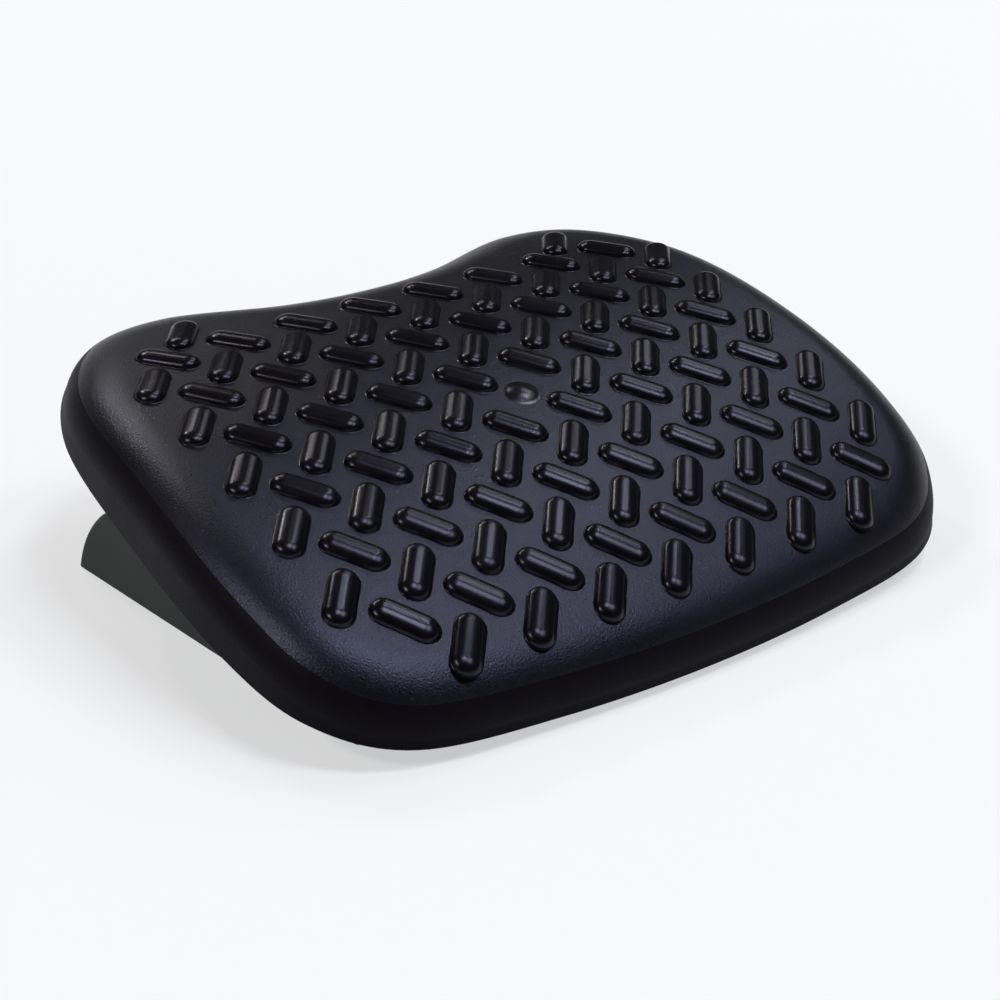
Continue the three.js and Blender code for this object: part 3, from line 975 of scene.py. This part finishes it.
    def build(self) -> None:
        """Builds the shell, ribs and lugs, with painted shade on its walls and underside."""
        shell = self.shell().merge_in(self.inside())
        edge = KDTree(self.edge_samples)
        for i in range(self.edge_samples):
            edge.insert(self.outline(i / self.edge_samples, 0), i)
        edge.balance()
        # The side walls and the faces turned down take the darker, duller copy of the plastic:
        # painted shade
        painted_shade_faces = []
        for face in shell.obj.data.polygons:
            _, _, inset = edge.find((face.center.x, face.center.y, 0))
            painted_shade_faces.append(int(face.normal.z < 0 or inset < self.wall_band))
        piece = shell.finish(self.layout.platform(), Body.PLATFORM, Finish.PLATFORM, "platform")
        piece.data.materials.append(Finish.SHADED_WALLS.value.material())
        piece.data.polygons.foreach_set("material_index", painted_shade_faces)


@dataclass
class Tread:
    """The herringbone of raised bars and the low boss in its middle."""

    platform: Platform
    column_pitch: float = 21.6
    row_pitch: float = 46.1
    side_columns: int = 8
    odd_rows: tuple[float, ...] = (-2.5, -1.5, -0.5, 0.5, 1.5, 2.5)
    even_rows: tuple[float, ...] = (-3, -2, -1, 0, 1, 2)
    outer_rows: tuple[float, ...] = (-3, -2, -1, 0, 1, 2, 3)
    side_rows: tuple[float, ...] = (-2, -1, 0, 1, 2)
    bar_length: float = 36.0
    bar_width: float = 15.6
    bar_angle: float = math.radians(51.4)
    bar_height: float = 4.8
    # The foot of a bar's section, with the fillet round it, as how far in and how high it lies
    bar_foot: tuple[Point, ...] = ((-0.7, -0.15), (-0.65, 0.02), (-0.3, 0.1), (-0.05, 0.35))
    section_steps: int = 12
    end_steps: int = 9
    boss_diameter: float = 19.0
    boss_height: float = 2.0
    boss_foot: tuple[Point, ...] = ((-1.0, -0.1), (-0.9, 0.02), (-0.3, 0.12))
    boss_steps: int = 40
    smooth_angle: float = 60.0

    def bar_ring(self, inset: float, height: float) -> Ring:
        """A ring of a bar that lies along X.

        Args:
            inset: How far it is drawn in from the bar's outline.
            height: Its height above the crown.

        Returns:
            The ring's points.
        """
        radius = self.bar_width / 2 - inset
        reach = (self.bar_length - self.bar_width) / 2
        ring = []
        for end in (1, -1):
            for i in range(self.end_steps):
                angle = math.pi * (i / (self.end_steps - 1) - 0.5)
                x, y = reach + radius * math.cos(angle), radius * math.sin(angle)
                ring.append(Vector((end * x, end * y, height)))
        return ring

    def bar(self) -> Solid:
        """Models a bar: its foot, then half an ellipse to its crest.

        Returns:
            The bar, lying along X on a level face.
        """
        section = [*self.bar_foot]
        for i in range(1, self.section_steps):
            angle = RIGHT_ANGLE * i / self.section_steps
            inset = self.bar_width / 2 * (1 - math.cos(angle))
            section.append((inset, self.bar_height * math.sin(angle)))
        return stacked("bar", [self.bar_ring(*point) for point in section])

    def boss(self) -> Solid:
        """Models the boss: its foot, then a low dome.

        Returns:
            The boss on a level face. The bars join it, so it has the whole tread's name.
        """
        half = self.boss_diameter / 2
        section = [*self.boss_foot]
        for i in range(1, self.section_steps):
            share = i / self.section_steps
            section.append((half * share, self.boss_height * (1 - (1 - share) ** 2)))
        rings = []
        for inset, height in section:
            radius = half - inset
            rings.append([Vector((radius * math.cos(angle), radius * math.sin(angle), height))
                          for angle in round_turn(self.boss_steps)])
        return stacked("tread_bars", rings)

    def on_crown(self, solid: Solid, x: float, y: float, angle: float) -> Solid:
        """Turns a raised form to its place, and lets it follow the crown.

        Args:
            solid: The form about its own middle.
            x: Its place to the right.
            y: Its place to the back.
            angle: Its turn in radians.

        Returns:
            The form at its place.
        """
        solid.move(shift(x, y) @ Matrix.Rotation(angle, 4, "Z"))
        for vert in solid.obj.data.vertices:
            vert.co.z += self.platform.crown(vert.co.x, vert.co.y)
        return solid

    def rows(self, column: int) -> tuple[float, ...]:
        """The places of a column's bars, in row pitches from the middle row."""
        last = {self.side_columns: self.side_rows, self.side_columns - 2: self.outer_rows}
        return self.odd_rows if column % 2 else last.get(abs(column), self.even_rows)

    def build(self) -> None:
        """Lays the bars out over the crown, with the boss in the middle bar's place."""
        first, bars = self.bar(), []
        for column in range(-self.side_columns, self.side_columns + 1):
            x = column * self.column_pitch
            angle = -self.bar_angle if column % 2 else self.bar_angle
            for row in self.rows(column):
                if column or row:
                    bars.append(self.on_crown(first.copy("bar"), x, row * self.row_pitch, angle))
        first.remove()
        boss = self.on_crown(self.boss(), 0, 0, 0)
        boss_faces = len(boss.obj.data.polygons)
        piece = boss.merge_in(bars).finish(
            self.platform.layout.platform(), Body.PLATFORM, Finish.BARS, "platform",
            angle=self.smooth_angle,
        )
        piece.data.materials.append(Finish.BOSS.value.material())
        for face in piece.data.polygons[:boss_faces]:
            face.material_index = 1


# Base


@dataclass
class Base:
    """Two hollow side pods joined by two channel beams, with an ear for each hinge."""

    layout: Layout
    depth: float = 252.0
    lift: float = 1.5
    wall: float = 3.0
    pod_height: float = 58.3
    pod_back: float = 3.0
    pod_arc_radius: float = 79.0
    pod_arc_steps: int = 20
    pod_edge: tuple[float, int] = (3.0, 4)
    beam_width: float = 40.0
    beam_height: float = 31.0
    beam_offset: float = 80.0
    beam_edge: tuple[float, int] = (1.5, 3)
    beam_web_spacing: float = 70.0
    web_thickness: float = 2.5
    ear_web_thickness: float = 4.0
    inner_web_offset: float = 45.0
    foot_offset: float = 97.0
    foot_boss_diameter: float = 28.0
    ear_radius: float = 12.0
    ear_steps: int = 24
    ear_foot_half: float = 22.0
    bush_radius: float = 6.5
    pad_width: float = 32.0
    pad_length: float = 22.0
    pad_offset: float = 39.0
    pad_pocket: float = 1.3
    pad_corner: float = 4.0
    pad_corner_steps: int = 8
    rubber_edge: float = 1.0
    foot_diameter: float = 22.0
    foot_pocket: float = 2.0
    # The dimple in a foot's underside: the radii of its floor and its edge, and its depth
    foot_dimple: Corner = (3.0, 3.5, 0.6)
    foot_stem_diameter: float = 8.0
    foot_stem_height: float = 8.0
    # How far a stem's tip is drawn in, and over what height
    foot_stem_taper: Point = (0.8, 1.2)
    overrun: float = 10.0

    def pod_outline(self, inset: float, bottom: float) -> list[Point]:
        """A pod's side view: flat below, with a large arc at each end.

        Args:
            inset: How far it is drawn in.
            bottom: The height that it starts from.

        Returns:
            Its corners as Y and Z.
        """
        height = self.pod_height - self.pod_arc_radius
        back = self.depth / 2 - math.sqrt(self.pod_arc_radius ** 2 - height ** 2)
        radius = self.pod_arc_radius - inset
        low = math.asin((bottom - height) / radius)
        outline = []
        for y, start, end in ((back, low, RIGHT_ANGLE), (-back, RIGHT_ANGLE, math.pi - low)):
            outline += arc((self.pod_back + y, height), radius, start, end, self.pod_arc_steps)
        return outline

    def pod_place(self, side: Side) -> Matrix:
        """From a pod's square frame to its toed-in place."""
        turn = Matrix.Rotation(-side.value * self.layout.pod_toe_in, 4, "Z")
        return shift(self.layout.pod_middle(side)) @ turn

    def pod_pieces(self, side: Side) -> list[Solid]:
        """Models the webs and foot bosses inside a pod, trimmed to it.

        Args:
            side: The pod's side.

        Returns:
            The pieces at their places.
        """
        span = (self.layout.pod_width - self.wall) / 2
        low, top = self.lift, self.pod_height - self.wall / 2
        thick, half = self.ear_web_thickness / 2, self.web_thickness / 2
        reach = self.inner_web_offset
        pieces = [block("web", (-thick, -reach, low), (thick, reach, top))]
        for end in End:
            for offset in (self.inner_web_offset, self.foot_offset):
                y = end.value * offset
                pieces.append(block("web", (-span, y - half, low), (span, y + half, top)))
            boss = rod("boss", self.foot_boss_diameter / 2, low, top)
            pieces.append(boss.move(shift(0, end.value * self.foot_offset) @ UPRIGHT))
        for piece in pieces:
            within = slab("within", self.pod_outline(self.wall / 2, 0), 0, 2 * span)
            piece.change(within, Operation.KEEP).move(self.pod_place(side))
        return pieces

    def ear(self, side: Side) -> Solid:
        """Models the upright that carries a hinge's bush.

        Args:
            side: The hinge's side.

        Returns:
            The ear at its place, without its bore.
        """
        foot, layout = self.pod_height - self.wall / 2, self.layout
        outline = [(-self.ear_foot_half, foot), (self.ear_foot_half, foot)]
        outline += arc((0, layout.hinge.z), self.ear_radius, 0, math.pi, self.ear_steps)
        return slab("ear", outline, layout.pod_middle(side), layout.ear_thickness, MOULD_EDGE)

    def beam(self, end: End) -> Solid:
        """Models a channel open below, with its long edges rounded.

        Args:
            end: The end where it lies.

        Returns:
            The beam at its place.
        """
        reach = self.layout.pod_outer() - self.layout.pod_width / 2
        y, half = end.value * self.beam_offset, self.beam_width / 2
        top, bottom = self.beam_height, -self.overrun
        beam = block("beam", (-reach, y - half, bottom), (reach, y + half, top))
        beam.bevel(lambda run: abs(run.x) > reach, *self.beam_edge)
        beam.cut_below(self.lift)
        inner, far = half - self.wall, reach + self.overrun
        channel = block("channel", (-far, y - inner, bottom), (far, y + inner, top - self.wall))
        return beam.change(channel, Operation.CUT)

    def beam_webs(self, end: End) -> list[Solid]:
        """Models the webs across a beam's channel.

        Args:
            end: The end where the beam lies.

        Returns:
            The webs at their places.
        """
        y, half = end.value * self.beam_offset, (self.beam_width - self.wall) / 2
        thick, top = self.web_thickness / 2, self.beam_height - self.wall / 2
        places = (-self.beam_web_spacing, 0, self.beam_web_spacing)
        return [block("web", (x - thick, y - half, self.lift), (x + thick, y + half, top))
                for x in places]

    def foot_place(self, side: Side, end: End) -> Matrix:
        """From a foot's frame, drawn along X, to its place on the floor."""
        return self.pod_place(side) @ shift(0, end.value * self.foot_offset) @ UPRIGHT

    def pad_ring(self, grow: float, height: float) -> Ring:
        """A rounded rectangle round a stop pad.

        Args:
            grow: How far outside the pad it lies.
            height: Its height.

        Returns:
            Its points.
        """
        corner = self.pad_corner + grow
        x, y = self.pad_width / 2 + grow - corner, self.pad_length / 2 + grow - corner
        ring = []
        for quarter, centre in enumerate(((x, y), (-x, y), (-x, -y), (x, -y))):
            start = quarter * RIGHT_ANGLE
            points = arc(centre, corner, start, start + RIGHT_ANGLE, self.pad_corner_steps)
            ring += [Vector((*point, height)) for point in points]
        return ring

    def cut_seats(self, base: Solid, side: Side) -> None:
        """Cuts a side's bore, foot sockets and pad pockets.

        Args:
            base: The base.
            side: The side.
        """
        gap, x = self.layout.clearance, self.layout.pod_middle(side)
        thick = self.layout.ear_thickness
        bore = rod("bore", self.bush_radius + gap, x - thick, x + thick)
        base.change(bore.move(shift(0, 0, self.layout.hinge.z)), Operation.CUT)
        wide, narrow = self.foot_diameter / 2 + gap, self.foot_stem_diameter / 2 + gap
        top = self.lift + self.foot_pocket
        tip = top + self.foot_stem_height + gap
        hole = [(wide, -self.lift), (wide, top), (narrow, top), (narrow, tip)]
        low = self.pod_height - self.pad_pocket
        for end in End:
            socket = turned("socket", hole).move(self.foot_place(side, end))
            base.change(socket, Operation.CUT)
            rings = [self.pad_ring(gap, height) for height in (low, low + self.overrun)]
            pocket = stacked("pocket", rings).move(shift(x, end.value * self.pad_offset))
            base.change(pocket, Operation.CUT)

    def build(self) -> None:
        """Joins the pods, beams, webs and ears, and cuts the seats of the small parts."""
        front, back = (self.beam(end) for end in End)
        base = front.change(back, Operation.JOIN)
        base.rename("moulded_base")
        for side in Side:
            width, place = self.layout.pod_width, self.pod_place(side)
            pod = slab("pod", self.pod_outline(0, -self.overrun), 0, width, self.pod_edge)
            pod.cut_below(self.lift)
            base.change(pod.move(place), Operation.JOIN)
            hollow, inner = self.pod_outline(self.wall, -self.overrun), width - 2 * self.wall
            base.change(slab("cavity", hollow, 0, inner).move(place), Operation.CUT)
            for piece in (*self.pod_pieces(side), self.ear(side)):
                base.change(piece, Operation.JOIN)
        for end in End:
            for web in self.beam_webs(end):
                base.change(web, Operation.JOIN)
        for side in Side:
            self.cut_seats(base, side)
        base.finish(self.layout.level(), Body.BASE, Finish.BASE, "base")

    def build_rubber(self) -> None:
        """Builds the stop pads in their pockets and the feet in their sockets."""
        gap, edge = self.layout.clearance, self.rubber_edge
        bend = ROUND_SHARE * edge
        low = self.pod_height - self.pad_pocket + gap
        top = self.layout.hinge.z - self.layout.lug_radius - gap
        pad = [(0, low), (0, top - edge), (-bend, top - bend), (-edge, top)]
        radius, stem = self.foot_diameter / 2, self.foot_stem_diameter / 2
        shoulder = self.lift + self.foot_pocket - gap
        tip = self.lift + self.foot_pocket + self.foot_stem_height
        dimple, rim, depth = self.foot_dimple
        inset, taper = self.foot_stem_taper
        foot = [
            (dimple, depth), (rim, 0), (radius - edge, 0), (radius - bend, bend), (radius, edge),
            (radius, shoulder), (stem, shoulder), (stem, tip - taper), (stem - inset, tip),
        ]
        for side in Side:
            for end in End:
                name = f"{end.name.lower()}_{side.name.lower()}"
                x, y = self.layout.pod_middle(side), end.value * self.pad_offset
                rings = [self.pad_ring(*place) for place in pad]
                pieces = {
                    "stop_pad": stacked(f"{name}_rubber_pad", rings).move(shift(x, y)),
                    "foot": turned(f"{name}_rubber_foot", foot).move(self.foot_place(side, end)),
                }
                for node, piece in pieces.items():
                    piece.finish(self.layout.level(), Body.BASE, Finish.RUBBER, f"{name}_{node}")


# Hinges


@dataclass
class Hinge:
    """The bolt, lock nut, washers and bush of one side, along X with outwards as +X."""

    layout: Layout
    side: Side
    bolt_diameter: float = 8.0
    bolt_end: float = 2.0
    bolt_steps: int = 32
    # How far the bolt's end is drawn in, and over what length
    bolt_taper: Point = (0.9, 0.8)
    thread_pitch: float = 1.25
    thread_depth: float = 0.5
    thread_length: float = 18.0
    head_across: float = 13.0
    head_sides: int = 6
    head_height: float = 5.3
    # How far the head's edge is drawn in at its seat, and over what height
    head_edge: Point = (0.2, 0.15)
    head_chamfer_share: float = 0.6
    head_overlap: float = 1.0
    # How far inside its flats a hexagon's round face ends
    face_inset: float = 0.1
    hexagon_steps: int = 72
    nut_height: float = 6.5
    nut_edge: float = 0.5
    collar_height: float = 1.8
    collar_diameter: float = 11.4
    # How far the collar's edge is drawn in, and over what height
    collar_edge: Point = (0.5, 0.6)
    collar_overlap: float = 0.2
    washer_diameter: float = 17.0
    washer_thickness: float = 1.6
    washer_edge: float = 0.2
    friction_diameter: float = 21.0
    friction_thickness: float = 1.5
    friction_edge: float = 0.15
    bush_wall: float = 2.2
    bush_edge: float = 0.4
    smooth_angle: float = 30.0

    def __post_init__(self) -> None:
        """Takes the places along the axis from the layout."""
        gap = self.layout.clearance
        self.bore = self.bolt_diameter / 2 + gap
        self.lug_face = self.layout.lug_offset + self.layout.lug_thickness / 2 + gap
        self.seat = self.lug_face + self.washer_thickness + gap
        self.flat = self.head_across / 2
        self.corner = self.flat / math.cos(math.pi / self.head_sides)

    def place(self, body: Body) -> Matrix:
        """From the hinge's frame at its ear to the footrest's.

        Args:
            body: The body that a piece rides on.

        Returns:
            The matrix, tilted for the platform's pieces.
        """
        x = self.layout.pod_middle(self.side)
        facing = Matrix.Rotation(math.pi if self.side is Side.LEFT else 0, 4, "Z")
        if body is Body.PLATFORM:
            return self.layout.tilted(x, 0, 0) @ facing
        return self.layout.level(x) @ shift(z=self.layout.hinge.z) @ facing

    def washer(self, name: str, diameter: float, start: float, thick: float, edge: float) -> Solid:
        """Models a flat ring with softened edges.

        Args:
            name: The object's name.
            diameter: Its outer diameter.
            start: Where it starts along X.
            thick: Its thickness.
            edge: The width of its softened edges.

        Returns:
            The ring.
        """
        outer, end = diameter / 2, start + thick
        return turned(name, [
            (self.bore, start), (outer - edge, start), (outer, start + edge),
            (outer, end - edge), (outer - edge, end), (self.bore, end),
        ], ends=Ends.JOINED)

    def bolt(self, name: str) -> Solid:
        """Models the hexagon bolt with its chamfered head and threaded end.

        Args:
            name: The object's name.

        Returns:
            The bolt.
        """
        radius, pitch, top = self.bolt_diameter / 2, self.thread_pitch, self.seat + self.head_height
        inset, rise = self.head_edge
        chamfer = (self.corner - self.flat) * self.head_chamfer_share
        head = turned("head", [
            (self.flat - inset, self.seat), (self.corner, self.seat + rise),
            (self.corner, top - chamfer), (self.flat - self.face_inset, top),
        ], self.hexagon_steps, self.head_sides)
        start = -(self.seat + self.nut_height + self.collar_height + self.bolt_end)
        inset, taper = self.bolt_taper
        shank, x = [(radius - inset, start), (radius, start + taper)], start + taper
        while x < start + self.thread_length:
            shank += [(radius - self.thread_depth, x + pitch / 2), (radius, x + pitch)]
            x += pitch
        shank.append((radius, self.seat + self.head_overlap))
        return turned(name, shank, self.bolt_steps).merge_in([head])

    def nut(self, name: str) -> Solid:
        """Models the lock nut with its collar towards the bolt's end.

        Args:
            name: The object's name.

        Returns:
            The nut.
        """
        bore, corner, edge = self.bore, self.corner, self.nut_edge
        face = self.flat - self.face_inset
        seat = -self.seat
        end = seat - self.nut_height
        body = turned(name, [
            (bore, seat), (face, seat), (corner, seat - edge), (corner, end + edge), (face, end),
            (bore, end),
        ], self.hexagon_steps, self.head_sides, Ends.JOINED)
        start, tip = end + self.collar_overlap, end - self.collar_height
        collar, (inset, rise) = self.collar_diameter / 2, self.collar_edge
        ring = turned("collar", [
            (bore, start), (collar, start), (collar, tip + rise), (collar - inset, tip),
            (bore, tip),
        ], ends=Ends.JOINED)
        return body.merge_in([ring])

    def build(self) -> None:
        """Builds the hinge's hardware. Its steel parts turn with the platform."""
        side, gap = f"{self.side.name.lower()}_", self.layout.clearance
        half, thick, rub = (
            self.layout.ear_thickness / 2, self.washer_thickness, self.friction_thickness,
        )
        steel = (self.washer_diameter, thick, self.washer_edge, Finish.STEEL)
        fibre = (self.friction_diameter, rub, self.friction_edge, Finish.FIBRE)
        bronze = (2 * (self.bore + self.bush_wall), 2 * half, self.bush_edge, Finish.BRONZE)
        solids = {
            "pivot_bolt": (self.bolt(side + "hexagon_bolt"), Finish.STEEL),
            "lock_nut": (self.nut(side + "nut"), Finish.STEEL),
        }
        for node, name, start, (diameter, wide, edge, dress) in (
            ("head_washer", "outer_washer", self.lug_face, steel),
            ("nut_washer", "inner_washer", -self.lug_face - thick, steel),
            ("pivot_bush", "bush", -half, bronze),
            ("outer_friction_washer", "outer_friction_washer_ring", half + gap, fibre),
            ("inner_friction_washer", "inner_friction_washer_ring", -half - gap - rub, fibre),
        ):
            solids[node] = (self.washer(side + name, diameter, start, wide, edge), dress)
        for node, (solid, dress) in solids.items():
            body = Body.PLATFORM if dress is Finish.STEEL else Body.BASE
            solid.finish(self.place(body), body, dress, side + node, angle=self.smooth_angle)


# Studio


@dataclass(frozen=True)
class Softbox:
    """A rectangular lamp far out that faces the footrest.

    Its azimuth runs from the back to the right and its elevation from the floor, in degrees.
    Its power is in watts, and the rest in metres.
    """

    name: str
    azimuth: float
    elevation: float
    width: float
    height: float
    power: float
    roll: float = 0.0
    colour: str = "#f4f7ff"
    distance: float = 4.0

    def build(self) -> None:
        """Adds the lamp."""
        lamp = bpy.data.lights.new(self.name, "AREA")
        lamp.shape = "RECTANGLE"
        lamp.size, lamp.size_y = self.width, self.height
        lamp.energy = self.power
        lamp.color = linear(self.colour)[:3]
        turn, rise = math.radians(self.azimuth), math.radians(self.elevation)
        out = Vector((math.sin(turn) * math.cos(rise), math.cos(turn) * math.cos(rise),
                      math.sin(rise)))
        holder = bpy.data.objects.new(self.name, lamp)
        holder.location = self.distance * out
        roll = Quaternion((0, 0, 1), math.radians(self.roll))
        holder.rotation_euler = ((-out).to_track_quat("-Z", "Y") @ roll).to_euler()
        holder.visible_camera = False
        bpy.context.scene.collection.objects.link(holder)


@dataclass(frozen=True)
class Studio:
    """The pale floor, the soft lamps and the camera of the photograph."""

    camera_place: Corner = (-0.6366, -0.8535, 0.5400)
    camera_aim: Corner = (0.5391, 0.7231, -0.4319)
    focal_pixels: float = 2111.0
    frame_pixels: float = 1000.0
    sensor: float = 36.0
    floor_colour: str = "#f6f7f9"
    floor_size: float = 14.0
    # Where the lamps no longer reach, in metres, and how fast their light falls off towards it
    lamp_reach: float = 6.5
    lamp_fall: float = 1.15
    # How much of its light comes back off the floor; the rest of its colour is only seen
    floor_bounce: float = 0.4
    room_light: float = 0.05
    # The sine of the elevation at which the pale backdrop ends, and how fast it darkens upwards
    wall_top: float = 0.5
    wall_fall: float = 7.0
    lamps: tuple[Softbox, ...] = (
        Softbox("left", -92.0, 42.5, 1.15, 0.42, 50.0, colour="#fff9f2"),
        Softbox("back", 16.0, 42.0, 1.00, 0.42, 11.0, colour="#fff9f2"),
        Softbox("back_strip", -3.5, 42.5, 0.20, 0.60, 22.0, -46.0, "#fff9f2"),
        Softbox("right", 77.0, 60.0, 0.62, 1.30, 18.0, -14.0),
        Softbox("spot", 86.0, 61.0, 0.30, 0.30, 7.0),
        Softbox("right_low", 62.0, 43.0, 1.20, 0.50, 8.0),
        Softbox("overhead", 158.0, 73.0, 1.05, 0.80, 50.0),
        Softbox("front_right", 142.0, 55.0, 1.30, 0.95, 40.0),
    )

    def build_camera(self) -> None:
        """Adds the camera where the photograph was taken."""
        camera = bpy.data.cameras.new("camera")
        camera.sensor_width = self.sensor
        camera.lens = self.sensor * self.focal_pixels / self.frame_pixels
        camera.clip_start, camera.clip_end = 0.01, 100.0
        holder = bpy.data.objects.new("camera", camera)
        holder.location = self.camera_place
        holder.rotation_euler = Vector(self.camera_aim).to_track_quat("-Z", "Y").to_euler()
        bpy.context.scene.collection.objects.link(holder)
        bpy.context.scene.camera = holder

    def seen(self, tree: Tree) -> Socket:
        """One for what the camera, metal or glass sees, and none for the light on matt faces.

        Args:
            tree: The node tree.

        Returns:
            The value.
        """
        path = add_node(tree, "ShaderNodeLightPath").outputs
        gloss = add_node(
            tree, "ShaderNodeMath", {"operation": "MAXIMUM"},
            {0: path["Is Glossy Ray"], 1: path["Is Transmission Ray"]},
        ).outputs[0]
        return add_node(
            tree, "ShaderNodeMath", {"operation": "MAXIMUM"}, {0: path["Is Camera Ray"], 1: gloss},
        ).outputs[0]

    def build_floor(self) -> None:
        """Adds the plain pale floor, which keeps its colour where the lamps no longer reach."""
        bpy.ops.object.select_all(action="DESELECT")
        bpy.ops.mesh.primitive_plane_add(size=self.floor_size)
        floor = bpy.context.object
        floor.name = "floor"
        material = bpy.data.materials.new("pale_matt_paper")
        tree = cleared(material)
        place = add_node(tree, "ShaderNodeTexCoord").outputs["Object"]
        away = add_node(tree, "ShaderNodeVectorMath", {"operation": "LENGTH"}, {0: place})
        share = add_node(
            tree, "ShaderNodeMath", {"operation": "DIVIDE", 1: self.lamp_reach},
            {0: away.outputs["Value"]},
        )
        loss = add_node(
            tree, "ShaderNodeMath",
            {"operation": "POWER", 1: self.lamp_fall, "use_clamp": True}, {0: share.outputs[0]},
        )
        bounce, colour = self.floor_bounce, linear(self.floor_colour)
        own = add_node(
            tree, "ShaderNodeMath", {"operation": "MULTIPLY_ADD", 1: bounce, 2: 1 - bounce},
            {0: loss.outputs[0]},
        )
        glow = add_node(
            tree, "ShaderNodeMath", {"operation": "MULTIPLY"},
            {0: own.outputs[0], 1: self.seen(tree)},
        )
        shader = add_node(
            tree, "ShaderNodeBsdfPrincipled",
            {"Base Color": [*(bounce * level for level in colour[:3]), 1.0], "Roughness": 0.9,
             "Specular IOR Level": 0.0, "Emission Color": colour},
            {"Emission Strength": glow.outputs[0]},
        )
        add_node(tree, "ShaderNodeOutputMaterial", links={"Surface": shader.outputs["BSDF"]})
        floor.data.materials.append(material)

    def build_world(self) -> None:
        """Adds the room: pale round the horizon where it is seen, and dim otherwise."""
        world = bpy.data.worlds.new("room")
        tree = cleared(world)
        direction = add_node(tree, "ShaderNodeTexCoord").outputs["Generated"]
        height = add_node(tree, "ShaderNodeSeparateXYZ", links={"Vector": direction})
        low = add_node(
            tree, "ShaderNodeMapRange", {"From Max": self.wall_top, "To Min": 1.0, "To Max": 0.0},
            {"Value": height.outputs["Z"]},
        )
        wall = add_node(
            tree, "ShaderNodeMath", {"operation": "POWER", 1: self.wall_fall},
            {0: low.outputs["Result"]},
        )
        light = add_node(
            tree, "ShaderNodeMath", {"operation": "MULTIPLY"},
            {0: wall.outputs[0], 1: self.seen(tree)},
        )
        level = add_node(
            tree, "ShaderNodeMath", {"operation": "MAXIMUM", 1: self.room_light},
            {0: light.outputs[0]},
        )
        sky = add_node(
            tree, "ShaderNodeBackground", {"Color": linear(self.floor_colour)},
            {"Strength": level.outputs[0]},
        )
        add_node(tree, "ShaderNodeOutputWorld", links={"Surface": sky.outputs["Background"]})
        bpy.context.scene.world = world

    def build(self) -> None:
        """Builds the whole studio."""
        self.build_camera()
        self.build_floor()
        self.build_world()
        for lamp in self.lamps:
            lamp.build()
        bpy.context.scene.view_settings.view_transform = "Standard"


def main() -> None:
    """Builds the studio and the footrest, piece by piece."""
    logging.basicConfig(level=logging.INFO, format="%(message)s", stream=sys.stdout)
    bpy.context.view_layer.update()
    Studio().build()
    layout = Layout()
    platform = Platform(layout)
    platform.build()
    Tread(platform).build()
    base = Base(layout)
    base.build()
    base.build_rubber()
    for side in Side:
        Hinge(layout, side).build()


if __name__ == "__main__":
    main()
